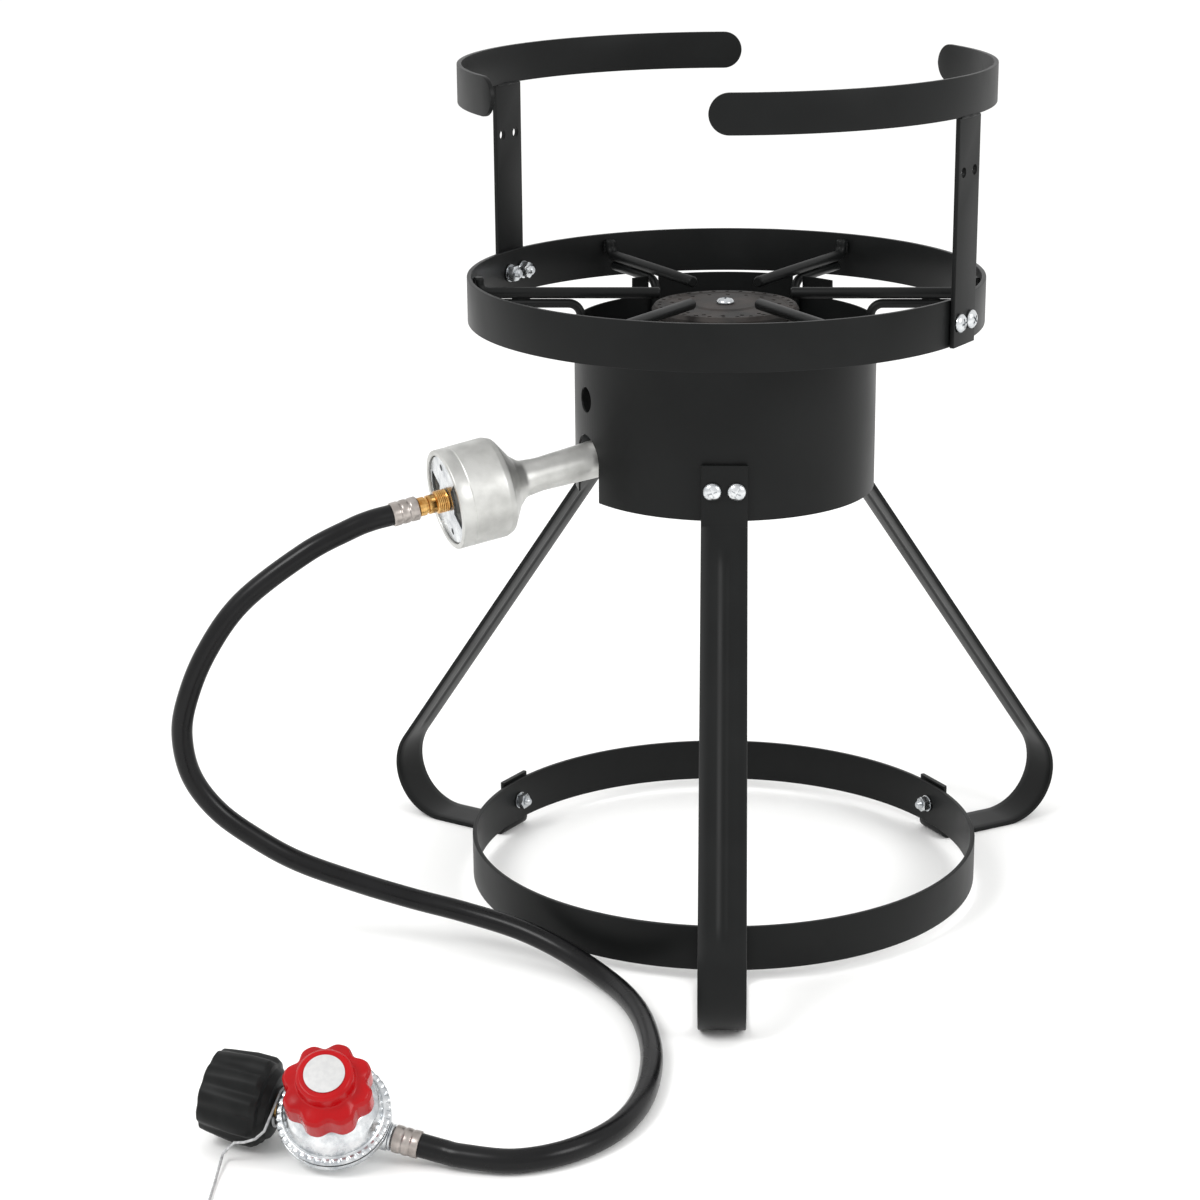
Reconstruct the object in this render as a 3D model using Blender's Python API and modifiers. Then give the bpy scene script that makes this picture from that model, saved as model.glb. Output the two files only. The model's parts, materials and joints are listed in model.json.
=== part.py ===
"""Propane burner stand: ring-topped tripod, wind guard, cast burner, venturi, hose and regulator.

Metres, +Z up, ground at z = 0. The stand's upright axis is at x = 0, y = STAND_Y, and azimuths are
measured about it from +X. The front leg points along -Y.
"""

import math

import bmesh
import bpy
from mathutils import Matrix, Vector

MM = 0.001
GAP = 0.3 * MM  # between pieces that touch

# Flat steel strip
STRIP_W = 30 * MM
STRIP_T = 3 * MM
ARM_W = 25 * MM

# Rings
RING_R = 170 * MM
RING_TOP = 430 * MM
LOWER_R = 174.5 * MM
LOWER_BOTTOM = 9 * MM

# Legs
LEG_AZIMUTHS = {"front": -90, "right": 30, "left": 150}
LEG_REACH = 272 * MM
LEG_BEND_R = 38 * MM
LEG_TAB_TOP = 325 * MM
LEG_BEND_Z = 285 * MM
LEG_TAB_OVER_RING = 2 * MM
BEAD_W = 8 * MM
BEAD_H = 1.2 * MM

# Wind guard
GUARD_R = 100 * MM
GUARD_T = 1.2 * MM
GUARD_BOTTOM = 287.5 * MM
GUARD_TOP = 398.5 * MM
GUARD_BACK_TOP = 411.5 * MM
GUARD_BACK_FROM, GUARD_BACK_TO = 43, 130
MATCH_HOLE_R = 8.5 * MM
MATCH_HOLE_Z = 353.5 * MM
NOTCH_HALF = 17.5 * MM
NOTCH_TOP = 330 * MM

# Pot bars and their hangers
BAR_R = 3.75 * MM
BAR_Z = 416 * MM
BAR_INNER = 43 * MM
BAR_TIP_Z = 426.5 * MM
HANGER_R = 3 * MM
HANGER_Z = 408.95 * MM
HANGER_FOOT_Z = 368 * MM
BAR_AZIMUTHS = (0, 60, 120, 180, 240, 300)

# Pot guards
POST_AZIMUTHS = {"right": -30, "left": 150}
ARM_BOTTOM = 543 * MM
ARM_HALF_SPAN = 63.5  # degrees
ARM_R = 173.5 * MM
POST_BOLT_Z = 415 * MM
POST_SPARE_Z = 509 * MM

# M6 fasteners
BOLT_R = 3 * MM
HOLE_R = 3.3 * MM
HEAD_R = 6 * MM
HEAD_H = 3.6 * MM
NUT_AF = 10 * MM
NUT_H = 5 * MM
PAIR_HALF = 7.75 * MM
LEG_BOLT_Z = 308 * MM

# Burner
VENTURI_AZIMUTH = 204.8
VENTURI_DIP = 9.03
FACE_R = 198.7 * MM
FACE_Z = 296.5 * MM
BELL_R = 33 * MM
TUBE_END = -168 * MM  # along the venturi's axis, from its face
SPIGOT_R = 13 * MM
CAP_R = 48.5 * MM
CAP_BOTTOM = 402.3 * MM
CAP_TOP = 409 * MM
PORT_RINGS = ((43.5 * MM, 30), (36 * MM, 18))
BRIDGE_TOP = 306.6 * MM

# Gas line
HOSE_R = 6.9 * MM
TIE_R = 0.8 * MM

# Regulator: its own frame has +Z up the adjusting screw and +X along the inlet
REG_CENTRE = Vector((-0.2180, -0.3578, 0.0194))
REG_TILT = 36.7  # degrees the screw leans from upright towards the front
INLET_AZIMUTH = 167.5
SCREW_PITCH = 1.25 * MM
FLANGE_R = 32.5 * MM
KNOB_R = 26 * MM
KNOB_LOBES = 8
NUT_R = 26.3 * MM
NUT_LOBES = 10
LABEL_R = 11.5 * MM

# The front leg reaches further than the back of the top ring's guards, so the axis is set back from the
# middle of the stand's footprint, which is at y = 0.
BACK_REACH = LOWER_R
STAND_Y = (LEG_REACH - BACK_REACH) / 2

FINISHES = {
    "black_coat": ((0.020, 0.020, 0.021), 0.0, 0.42),
    "zinc": ((0.62, 0.63, 0.64), 1.0, 0.28),
    "cast_aluminium": ((0.60, 0.60, 0.59), 1.0, 0.42),
    "cast_iron": ((0.030, 0.029, 0.028), 0.2, 0.70),
    "brass": ((0.72, 0.47, 0.16), 1.0, 0.30),
    "hose_rubber": ((0.012, 0.012, 0.012), 0.0, 0.28),
    "red_plastic": ((0.52, 0.010, 0.014), 0.0, 0.32),
    "label_paper": ((0.85, 0.85, 0.84), 0.0, 0.60),
    "black_plastic": ((0.014, 0.014, 0.014), 0.0, 0.45),
    "spring_steel": ((0.35, 0.35, 0.36), 1.0, 0.35),
    "seal_rubber": ((0.03, 0.03, 0.03), 0.0, 0.70),
    "nylon": ((0.42, 0.42, 0.42), 0.0, 0.40),
}


def clear_scene():
    for obj in list(bpy.data.objects):
        bpy.data.objects.remove(obj, do_unlink=True)


def new_collection(name, hidden=False):
    collection = bpy.data.collections.new(name)
    bpy.context.scene.collection.children.link(collection)
    collection.hide_render = hidden
    return collection


clear_scene()
STAND_PARTS = new_collection("propane_burner_stand")
CUTTERS = new_collection("cutters", hidden=True)


# ---------------------------------------------------------------- frames

STAND = Matrix.Translation((0, STAND_Y, 0))


def spoke(azimuth):
    """Stand frame turned so that +X points out along this azimuth."""
    return STAND @ Matrix.Rotation(math.radians(azimuth), 4, "Z")


def outward(azimuth, radius, across, z):
    """Frame at a bolt: +Z points away from the stand's axis."""
    place = spoke(azimuth) @ Matrix.Translation((radius, across, z))
    return place @ Matrix.Rotation(math.radians(90), 4, "Y")


DIP = Matrix.Rotation(math.radians(VENTURI_DIP), 4, "Y")
VENTURI = outward(VENTURI_AZIMUTH, FACE_R, 0, FACE_Z) @ DIP


def regulator_frame():
    tilt = math.radians(REG_TILT)
    up = Vector((0, -math.sin(tilt), math.cos(tilt)))
    turn = math.radians(INLET_AZIMUTH)
    flat = Vector((math.cos(turn), math.sin(turn), 0))
    flat.z = -flat.dot(up) / up.z
    inlet = flat.normalized()
    frame = Matrix((inlet, up.cross(inlet), up)).transposed().to_4x4()
    return Matrix.Translation(REG_CENTRE) @ frame


REGULATOR = regulator_frame()
INLET = REGULATOR @ Matrix.Rotation(math.radians(90), 4, "Y")  # +Z out of the inlet
OUTLET = REGULATOR @ Matrix.Rotation(math.radians(-90), 4, "Y")  # +Z out of the outlet


# ---------------------------------------------------------------- shared tools


def material(name, finish):
    colour, metallic, roughness = FINISHES[finish]
    mat = bpy.data.materials.new(name)
    mat.use_nodes = True
    mat.diffuse_color = (*colour, 1)
    shader = mat.node_tree.nodes["Principled BSDF"]
    shader.inputs["Base Color"].default_value = (*colour, 1)
    shader.inputs["Metallic"].default_value = metallic
    shader.inputs["Roughness"].default_value = roughness
    return mat


def add(name, data, matrix, finish):
    obj = bpy.data.objects.new(name, data)
    obj.matrix_world = matrix
    data.materials.append(material(name, finish))
    STAND_PARTS.objects.link(obj)
    return obj


def add_cutter(name, data, matrix):
    obj = bpy.data.objects.new(name, data)
    obj.matrix_world = matrix
    obj.hide_render = True
    obj.display_type = "WIRE"
    CUTTERS.objects.link(obj)
    return obj


def boolean(obj, other, operation):
    step = obj.modifiers.new(f"{operation.lower()} {other.name}", "BOOLEAN")
    step.operation = operation
    step.solver = "EXACT"
    step.object = other


def mesh_from(name, build, smooth=False):
    """A mesh made by build(bm), with its faces turned outwards."""
    bm = bmesh.new()
    build(bm)
    bmesh.ops.recalc_face_normals(bm, faces=bm.faces)
    for face in bm.faces:
        face.smooth = smooth
    mesh = bpy.data.meshes.new(name)
    bm.to_mesh(mesh)
    bm.free()
    return mesh


def profile_mesh(name, profile, closed):
    edges = [(i, i + 1) for i in range(len(profile) - 1)]
    if closed:
        edges.append((len(profile) - 1, 0))
    mesh = bpy.data.meshes.new(name)
    mesh.from_pydata([(r, 0, z) for r, z in profile], edges, [])
    return mesh


def turn(obj, steps):
    screw = obj.modifiers.new("turn", "SCREW")
    screw.axis = "Z"
    screw.angle = math.tau
    screw.steps = steps
    screw.render_steps = steps
    screw.use_merge_vertices = True
    screw.merge_threshold = 0.00002
    screw.use_smooth_shade = True
    return obj


def turned(name, profile, matrix, finish, steps=40):
    """Solid of revolution about +Z. The profile runs down the outer side; it is closed unless it ends on
    the axis."""
    closed = profile[0][0] > 0
    return turn(add(name, profile_mesh(name, profile, closed), matrix, finish), steps)


def turned_cutter(name, profile, matrix, steps=24):
    return turn(add_cutter(name, profile_mesh(name, profile, profile[0][0] > 0), matrix), steps)


def arc(centre, radius, start, end, count):
    """Points of an arc in a plane, angles in degrees."""
    points = []
    for i in range(count + 1):
        angle = math.radians(start + (end - start) * i / count)
        points.append((centre[0] + radius * math.cos(angle), centre[1] + radius * math.sin(angle)))
    return points


def filleted(corners, radius, count=6):
    """The polyline through these corners, with each inner corner rounded."""
    points = [Vector(corners[0])]
    for before, corner, after in zip(corners, corners[1:], corners[2:]):
        before, corner, after = Vector(before), Vector(corner), Vector(after)
        back = (before - corner).normalized()
        on = (after - corner).normalized()
        half = back.angle(on) / 2
        reach = radius / math.tan(half)
        centre = corner + (back + on).normalized() * radius / math.sin(half)
        start = corner + back * reach - centre
        end = corner + on * reach - centre
        sweep = start.angle(end)
        for i in range(count + 1):
            t = i / count
            point = (start * math.sin((1 - t) * sweep) + end * math.sin(t * sweep)) / math.sin(sweep)
            points.append(centre + point)
    points.append(Vector(corners[-1]))
    return points


def strip(name, path, width, matrix, finish, bead=None):
    """Flat strip bent along a path of (out, up) points, as wide as given across it. bead gives the first
    and last point of a stiffening bead pressed outwards along its middle."""
    path = [Vector(p) for p in path]
    across = (-width / 2, width / 2)
    raised = (0, 0)
    if bead:
        across = (-width / 2, -BEAD_W / 2, -BEAD_W / 5, BEAD_W / 5, BEAD_W / 2, width / 2)
        raised = (0, 0, 1, 1, 0, 0)

    def build(bm):
        rows = []
        for i, point in enumerate(path):
            before = (point - path[max(i - 1, 0)]).normalized()
            after = (path[min(i + 1, len(path) - 1)] - point).normalized()
            if i == 0:
                before = after
            elif i == len(path) - 1:
                after = before
            normal = Vector((-(before + after).y, (before + after).x)).normalized()
            normal *= STRIP_T / 2 / normal.dot(Vector((-after.y, after.x)))
            lift = BEAD_H if bead and bead[0] <= i <= bead[1] else 0
            row = []
            for side in (1, -1):
                for y, up in zip(across[::side], raised[::side]):
                    place = point + normal * side + normal.normalized() * lift * up
                    row.append(bm.verts.new((place.x, y, place.y)))
            rows.append(row)
        for one, two in zip(rows, rows[1:]):
            count = len(one)
            for i in range(count):
                j = (i + 1) % count
                bm.faces.new((one[i], one[j], two[j], two[i]))
        for row in (rows[0], rows[-1]):
            count = len(row) // 2
            for i in range(count - 1):
                bm.faces.new((row[i], row[i + 1], row[-2 - i], row[-1 - i]))

    return add(name, mesh_from(name, build), matrix, finish)


def wall(name, radius, thickness, stations, matrix, finish, closed=False):
    """Upright curved wall about +Z. Each station is (azimuth, bottom, top)."""

    def build(bm):
        rows = []
        for azimuth, bottom, top in stations:
            c, s = math.cos(math.radians(azimuth)), math.sin(math.radians(azimuth))
            inner = radius - thickness
            corners = ((radius, bottom), (radius, top), (inner, top), (inner, bottom))
            rows.append([bm.verts.new((r * c, r * s, z)) for r, z in corners])
        pairs = list(zip(rows, rows[1:]))
        if closed:
            pairs.append((rows[-1], rows[0]))
        for one, two in pairs:
            for i in range(4):
                j = (i + 1) % 4
                bm.faces.new((one[i], one[j], two[j], two[i]))
        if not closed:
            bm.faces.new(rows[0])
            bm.faces.new(rows[-1])

    return add(name, mesh_from(name, build, smooth=False), matrix, finish)


def wire_curve(name, points, radius, resolution):
    curve = bpy.data.curves.new(name, "CURVE")
    curve.dimensions = "3D"
    curve.bevel_depth = radius
    curve.bevel_resolution = resolution
    curve.use_fill_caps = True
    spline = curve.splines.new("POLY")
    spline.points.add(len(points) - 1)
    for point, place in zip(spline.points, points):
        point.co = (*place, 1)
    spline.use_smooth = True
    return curve


def rod(name, corners, radius, bend, matrix, finish, resolution=2):
    """Round bar bent through these (out, up) corners in the frame's XZ plane."""
    points = [Vector((p.x, 0, p.y)) for p in filleted(corners, bend)]
    return add(name, wire_curve(name, points, radius, resolution), matrix, finish)


def cylinders(name, places, radius, length, matrix, segments=10):
    """One cutter made of cylinders along +Z, centred on these places."""

    def build(bm):
        for place in places:
            bmesh.ops.create_cone(
                bm,
                cap_ends=True,
                segments=segments,
                radius1=radius,
                radius2=radius,
                depth=length,
                matrix=Matrix.Translation(place),
            )

    return add_cutter(name, mesh_from(name, build), matrix)


def sectors(name, inner, outer, half_angle, bottom, top, matrix, turns=(0, 180)):
    """One cutter made of kidney-shaped sectors about +Z."""

    def build(bm):
        for turn_by in turns:
            outline = arc((0, 0), outer, turn_by - half_angle, turn_by + half_angle, 8)
            outline += arc((0, 0), inner, turn_by + half_angle, turn_by - half_angle, 8)
            low = [bm.verts.new((x, y, bottom)) for x, y in outline]
            high = [bm.verts.new((x, y, top)) for x, y in outline]
            bm.faces.new(low)
            bm.faces.new(high)
            for i in range(len(low)):
                j = (i + 1) % len(low)
                bm.faces.new((low[i], low[j], high[j], high[i]))

    return add_cutter(name, mesh_from(name, build), matrix)


def lobed(name, rings, lobes, matrix, finish, steps):
    """Closed solid about +Z from rings of (radius, lobe height, z), run down the outside and back up the
    inside. A ring on the axis closes an end."""

    def build(bm):
        rows = []
        for radius, height, z in rings:
            if radius == 0:
                rows.append([bm.verts.new((0, 0, z))])
                continue
            row = []
            for i in range(steps):
                angle = math.tau * i / steps
                r = radius - height * (1 - math.cos(lobes * angle)) / 2
                row.append(bm.verts.new((r * math.cos(angle), r * math.sin(angle), z)))
            rows.append(row)
        for one, two in zip(rows, rows[1:] + rows[:1]):
            if len(one) == len(two) == 1:
                continue
            for i in range(steps):
                j = (i + 1) % steps
                a, b = one[i % len(one)], one[j % len(one)]
                c, d = two[j % len(two)], two[i % len(two)]
                if len(one) == 1:
                    bm.faces.new((a, c, d))
                elif len(two) == 1:
                    bm.faces.new((a, b, c))
                else:
                    bm.faces.new((a, b, c, d))

    return add(name, mesh_from(name, build, smooth=True), matrix, finish)


def prism(bm, sides, across_flats, bottom, top):
    radius = across_flats / 2 / math.cos(math.pi / sides)
    bmesh.ops.create_cone(
        bm,
        cap_ends=True,
        segments=sides,
        radius1=radius,
        radius2=radius,
        depth=top - bottom,
        matrix=Matrix.Translation((0, 0, (top + bottom) / 2)),
    )


# ---------------------------------------------------------------- rings, legs and fasteners


def ring(name, radius, bottom):
    profile = [
        (radius, bottom + STRIP_W),
        (radius, bottom),
        (radius - STRIP_T, bottom),
        (radius - STRIP_T, bottom + STRIP_W),
    ]
    return turned(name, profile, STAND, "black_coat", steps=64)


def fastener_mesh(name, grip):
    """Pan-head screw, washer and nut. The head's underside is at z = 0 and the washer's face at -grip."""
    tail = -grip - 1 * MM - NUT_H - 3 * MM
    profile = [
        (0, HEAD_H),
        (4.4 * MM, HEAD_H - 0.8 * MM),
        (HEAD_R, HEAD_H - 2.6 * MM),
        (HEAD_R, 0),
        (BOLT_R, 0),
        (BOLT_R, -grip),
        (HEAD_R, -grip),
        (HEAD_R, -grip - 1 * MM),
        (BOLT_R, -grip - 1 * MM),
        (BOLT_R, tail),
        (0, tail),
    ]
    screw = turn(add_cutter(name + "_screw", profile_mesh(name, profile, False), Matrix()), 12)
    top = -grip - 0.8 * MM

    def nut(bm):
        prism(bm, 6, NUT_AF, top - NUT_H - 0.2 * MM, top)

    boolean(screw, add_cutter(name + "_nut", mesh_from(name + "_nut", nut), Matrix()), "UNION")
    bpy.context.view_layer.update()
    graph = bpy.context.evaluated_depsgraph_get()
    return bpy.data.meshes.new_from_object(screw.evaluated_get(graph))


def fasten(name, mesh, azimuth, radius, across, z):
    return add(name, mesh.copy(), outward(azimuth, radius, across, z), "zinc")


def flat_depth(radius, half_width):
    """How far from the axis a flat washer sits inside a curved wall."""
    return math.sqrt(radius**2 - half_width**2) - GAP


# Strip on the wind guard, on the lower ring and on the top ring: where its inner face lies.
LEG_FACE = GUARD_R + GAP
FOOT_FACE = LOWER_R + GAP
POST_FACE = RING_R + GAP

leg_grip = LEG_FACE + STRIP_T + GAP - flat_depth(GUARD_R - GUARD_T, PAIR_HALF + HEAD_R)
foot_grip = FOOT_FACE + STRIP_T + GAP - flat_depth(LOWER_R - STRIP_T, HEAD_R)
post_grip = POST_FACE + STRIP_T + GAP - flat_depth(RING_R - STRIP_T, PAIR_HALF + HEAD_R)
LEG_FASTENER = fastener_mesh("leg_fastener", leg_grip)
FOOT_FASTENER = fastener_mesh("foot_fastener", foot_grip)
POST_FASTENER = fastener_mesh("post_fastener", post_grip)

FOOT_BOLT_Z = LOWER_BOTTOM + STRIP_W / 2

lower_ring = ring("lower_ring", LOWER_R, LOWER_BOTTOM)
top_ring = ring("top_ring", RING_R, RING_TOP - STRIP_W)


def leg_path():
    """Middle of the leg's strip, and the stretch of it that carries the bead."""
    tab_x = LEG_FACE + STRIP_T / 2
    foot_x = FOOT_FACE + STRIP_T / 2
    heel_r = LEG_BEND_R - STRIP_T / 2
    heel = Vector((LEG_REACH - LEG_BEND_R, LEG_BEND_R))
    corner = Vector((tab_x, LEG_BEND_Z))
    run = heel - corner
    slope = math.atan2(run.y, run.x) + math.asin(heel_r / run.length)
    touch = heel + heel_r * Vector((-math.sin(slope), math.cos(slope)))
    bead = [corner.lerp(touch, t) for t in (0.07, 0.09, 0.93, 0.95)]
    path = filleted([(tab_x, LEG_TAB_TOP), corner, touch], 6 * MM, 3)[:-1]
    first = len(path) + 1
    path += bead
    path += [Vector(p) for p in arc(heel, heel_r, math.degrees(slope) + 90, -90, 9)]
    tab_top = LOWER_BOTTOM + STRIP_W + LEG_TAB_OVER_RING
    foot = [(heel.x, STRIP_T / 2), (foot_x, STRIP_T / 2), (foot_x, tab_top)]
    path += filleted(foot, 4.5 * MM, 4)[1:]
    return path, (first, first + 1)


LEG_PATH, LEG_BEAD = leg_path()

for side, azimuth in LEG_AZIMUTHS.items():
    frame = spoke(azimuth)
    leg = strip(f"leg_{side}", LEG_PATH, STRIP_W, frame, "black_coat", bead=LEG_BEAD)
    turned_out = Matrix.Rotation(math.radians(90), 4, "Y")
    holes = cylinders(
        f"leg_{side}_holes",
        [(-LEG_BOLT_Z, y, LEG_FACE) for y in (-PAIR_HALF, PAIR_HALF)] + [(-FOOT_BOLT_Z, 0, FOOT_FACE)],
        HOLE_R,
        14 * MM,
        frame @ turned_out,
    )
    boolean(leg, holes, "DIFFERENCE")
    head_x = LEG_FACE + STRIP_T + GAP
    fasten(f"leg_bolt_{side}_a", LEG_FASTENER, azimuth, head_x, -PAIR_HALF, LEG_BOLT_Z)
    fasten(f"leg_bolt_{side}_b", LEG_FASTENER, azimuth, head_x, PAIR_HALF, LEG_BOLT_Z)
    fasten(f"foot_bolt_{side}", FOOT_FASTENER, azimuth, FOOT_FACE + STRIP_T + GAP, 0, FOOT_BOLT_Z)
    boolean(lower_ring, holes, "DIFFERENCE")


# ---------------------------------------------------------------- pot bars and hangers

for number, azimuth in enumerate(BAR_AZIMUTHS, 1):
    tip_x = RING_R - STRIP_T - GAP - BAR_R
    rod(
        f"pot_bar_{number}",
        [(BAR_INNER, BAR_Z), (tip_x, BAR_Z), (tip_x, BAR_TIP_Z)],
        BAR_R,
        6.5 * MM,
        spoke(azimuth),
        "black_coat",
    )
    hanger_x = GUARD_R - GUARD_T - GAP - HANGER_R
    rod(
        f"guard_hanger_{number}",
        [(tip_x - 5 * MM, HANGER_Z), (hanger_x, HANGER_Z), (hanger_x, HANGER_FOOT_Z)],
        HANGER_R,
        8 * MM,
        spoke(azimuth),
        "black_coat",
    )


# ---------------------------------------------------------------- pot guards


def arm_stations(azimuth):
    """Rounded ends: the strip's height falls away over its last half width."""
    half = ARM_W / 2
    middle = ARM_BOTTOM + half
    length = ARM_R * math.radians(ARM_HALF_SPAN)
    turns = [math.radians(t) for t in (8, 25, 45, 65, 90)]
    ends = [(half * (1 - math.cos(t)), half * math.sin(t)) for t in turns]
    steps = 28
    offsets = [(-length + d, h) for d, h in ends]
    offsets += [(-length + half + (2 * length - 2 * half) * i / steps, half) for i in range(1, steps)]
    offsets += [(length - d, h) for d, h in reversed(ends)]
    return [(azimuth + math.degrees(s / ARM_R), middle - h, middle + h) for s, h in offsets]


for side, azimuth in POST_AZIMUTHS.items():
    frame = spoke(azimuth)
    post_x = POST_FACE + STRIP_T / 2
    path = [(post_x, ARM_BOTTOM - GAP), (post_x, RING_TOP - STRIP_W)]
    post = strip(f"guard_post_{side}", path, STRIP_W, frame, "black_coat")
    turned_out = Matrix.Rotation(math.radians(90), 4, "Y")
    holes = cylinders(
        f"guard_post_{side}_holes",
        [(-z, y, POST_FACE) for z in (POST_BOLT_Z, POST_SPARE_Z) for y in (-PAIR_HALF, PAIR_HALF)],
        HOLE_R,
        16 * MM,
        frame @ turned_out,
    )
    boolean(post, holes, "DIFFERENCE")
    boolean(top_ring, holes, "DIFFERENCE")
    head_x = POST_FACE + STRIP_T + GAP
    fasten(f"guard_bolt_{side}_a", POST_FASTENER, azimuth, head_x, -PAIR_HALF, POST_BOLT_Z)
    fasten(f"guard_bolt_{side}_b", POST_FASTENER, azimuth, head_x, PAIR_HALF, POST_BOLT_Z)
    wall(f"guard_arm_{side}", ARM_R, STRIP_T, arm_stations(azimuth), STAND, "black_coat")


# ---------------------------------------------------------------- wind guard


def guard_stations():
    stations = []
    for azimuth in range(0, 360, 5):
        raised = GUARD_BACK_FROM < azimuth < GUARD_BACK_TO
        stations.append((azimuth, GUARD_BOTTOM, GUARD_BACK_TOP if raised else GUARD_TOP))
    for edge, side in ((GUARD_BACK_FROM, 1), (GUARD_BACK_TO, -1)):
        stations.append((edge - 0.1 * side, GUARD_BOTTOM, GUARD_TOP))
        stations.append((edge + 0.1 * side, GUARD_BOTTOM, GUARD_BACK_TOP))
    return sorted(s for s in stations if s[0] not in (GUARD_BACK_FROM, GUARD_BACK_TO))


wind_guard = wall("wind_guard", GUARD_R, GUARD_T, guard_stations(), STAND, "black_coat", closed=True)
for azimuth in LEG_AZIMUTHS.values():
    holes = cylinders(
        f"wind_guard_holes_{azimuth}",
        [(-LEG_BOLT_Z, y, GUARD_R) for y in (-PAIR_HALF, PAIR_HALF)],
        HOLE_R,
        14 * MM,
        spoke(azimuth) @ Matrix.Rotation(math.radians(90), 4, "Y"),
    )
    boolean(wind_guard, holes, "DIFFERENCE")


def cut_guard(name, outline, azimuth):
    """Cut an outline, given as (across, z), through one side of the guard."""

    def build(bm):
        near = [bm.verts.new((GUARD_R - 15 * MM, y, z)) for y, z in outline]
        far = [bm.verts.new((GUARD_R + 10 * MM, y, z)) for y, z in outline]
        bm.faces.new(near)
        bm.faces.new(far)
        for i in range(len(near)):
            j = (i + 1) % len(near)
            bm.faces.new((near[i], near[j], far[j], far[i]))

    boolean(wind_guard, add_cutter(name, mesh_from(name, build), spoke(azimuth)), "DIFFERENCE")


# Arched notch for the venturi, open at the guard's lower edge, and the match hole above it
arch = arc((0, NOTCH_TOP - NOTCH_HALF), NOTCH_HALF, 0, 180, 12)
below = GUARD_BOTTOM - 10 * MM
cut_guard("venturi_notch", [(NOTCH_HALF, below)] + arch + [(-NOTCH_HALF, below)], VENTURI_AZIMUTH)
# Slots in the raised back lip, where two hangers pass through it
slot_half = HANGER_R + 1 * MM
slot_bottom = HANGER_Z - HANGER_R - 3.5 * MM
slot_top = GUARD_BACK_TOP + 10 * MM
slot = [(slot_half, slot_bottom), (slot_half, slot_top), (-slot_half, slot_top), (-slot_half, slot_bottom)]
for azimuth in BAR_AZIMUTHS:
    if GUARD_BACK_FROM < azimuth < GUARD_BACK_TO:
        cut_guard(f"hanger_slot_{azimuth}", slot, azimuth)
match_hole = cylinders(
    "match_hole",
    [(-MATCH_HOLE_Z, 0, GUARD_R)],
    MATCH_HOLE_R,
    20 * MM,
    spoke(VENTURI_AZIMUTH) @ Matrix.Rotation(math.radians(90), 4, "Y"),
    segments=24,
)
boolean(wind_guard, match_hole, "DIFFERENCE")


# ---------------------------------------------------------------- burner

# Height at which the venturi's axis meets the stand's
AXIS_Z = FACE_Z + FACE_R * math.tan(math.radians(VENTURI_DIP))
SOCKET_R = SPIGOT_R + GAP
SOCKET_WALL = 4 * MM
ELBOW_R = SOCKET_R + SOCKET_WALL

bowl_outside = [
    (50 * MM, CAP_BOTTOM - GAP),
    (50 * MM, 397 * MM),
    (46 * MM, 391 * MM),
    (30 * MM, 368 * MM),
    (ELBOW_R + 1 * MM, 350 * MM),
    (ELBOW_R, AXIS_Z - 4 * MM),
    (12 * MM, AXIS_Z - ELBOW_R + 2 * MM),
    (9 * MM, BRIDGE_TOP + GAP),
    (0, BRIDGE_TOP + GAP),
]
burner_bowl = turned("burner_bowl", [(0, CAP_BOTTOM - GAP)] + bowl_outside, STAND, "cast_iron", steps=32)
elbow_top = -FACE_R + 48 * MM
elbow_foot = -FACE_R - 2 * MM
elbow_outside = turned_cutter(
    "burner_elbow",
    [(0, elbow_top), (ELBOW_R, elbow_top), (ELBOW_R, elbow_foot), (0, elbow_foot)],
    VENTURI,
    steps=24,
)
bowl_inside = turned_cutter(
    "burner_bowl_inside",
    [
        (0, CAP_BOTTOM + 5 * MM),
        (45.5 * MM, CAP_BOTTOM + 5 * MM),
        (45.5 * MM, 397 * MM),
        (42 * MM, 391 * MM),
        (26 * MM, 368 * MM),
        (12.5 * MM, 350 * MM),
        (12.5 * MM, AXIS_Z),
        (0, AXIS_Z - 8 * MM),
    ],
    STAND,
    steps=32,
)
elbow_inside = turned_cutter(
    "burner_elbow_inside",
    [
        (0, -FACE_R + 60 * MM),
        (SOCKET_R, -FACE_R + 60 * MM),
        (SOCKET_R, TUBE_END - GAP),
        (10.5 * MM, TUBE_END - GAP),
        (10.5 * MM, -FACE_R),
        (0, -FACE_R - 6 * MM),
    ],
    VENTURI,
    steps=24,
)
screw_passage = cylinders("burner_screw_passage", [(0, 0, 360 * MM)], HOLE_R, 200 * MM, STAND)
boolean(burner_bowl, elbow_outside, "UNION")
boolean(burner_bowl, bowl_inside, "DIFFERENCE")
boolean(burner_bowl, elbow_inside, "DIFFERENCE")
boolean(burner_bowl, screw_passage, "DIFFERENCE")

burner_cap = turned(
    "burner_cap",
    [
        (0, CAP_TOP),
        (46.8 * MM, CAP_TOP),
        (CAP_R, CAP_TOP - 3 * MM),
        (CAP_R, CAP_BOTTOM),
        (0, CAP_BOTTOM),
    ],
    STAND,
    "cast_iron",
    steps=48,
)
port_places = []
for radius, count in PORT_RINGS:
    for i in range(count):
        angle = math.tau * (i + 0.37) / count
        port_places.append((radius * math.cos(angle), radius * math.sin(angle), CAP_TOP))
ports = cylinders("burner_ports", port_places, 1.5 * MM, 30 * MM, STAND, segments=5)
boolean(burner_cap, ports, "DIFFERENCE")
boolean(burner_cap, screw_passage, "DIFFERENCE")

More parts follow.
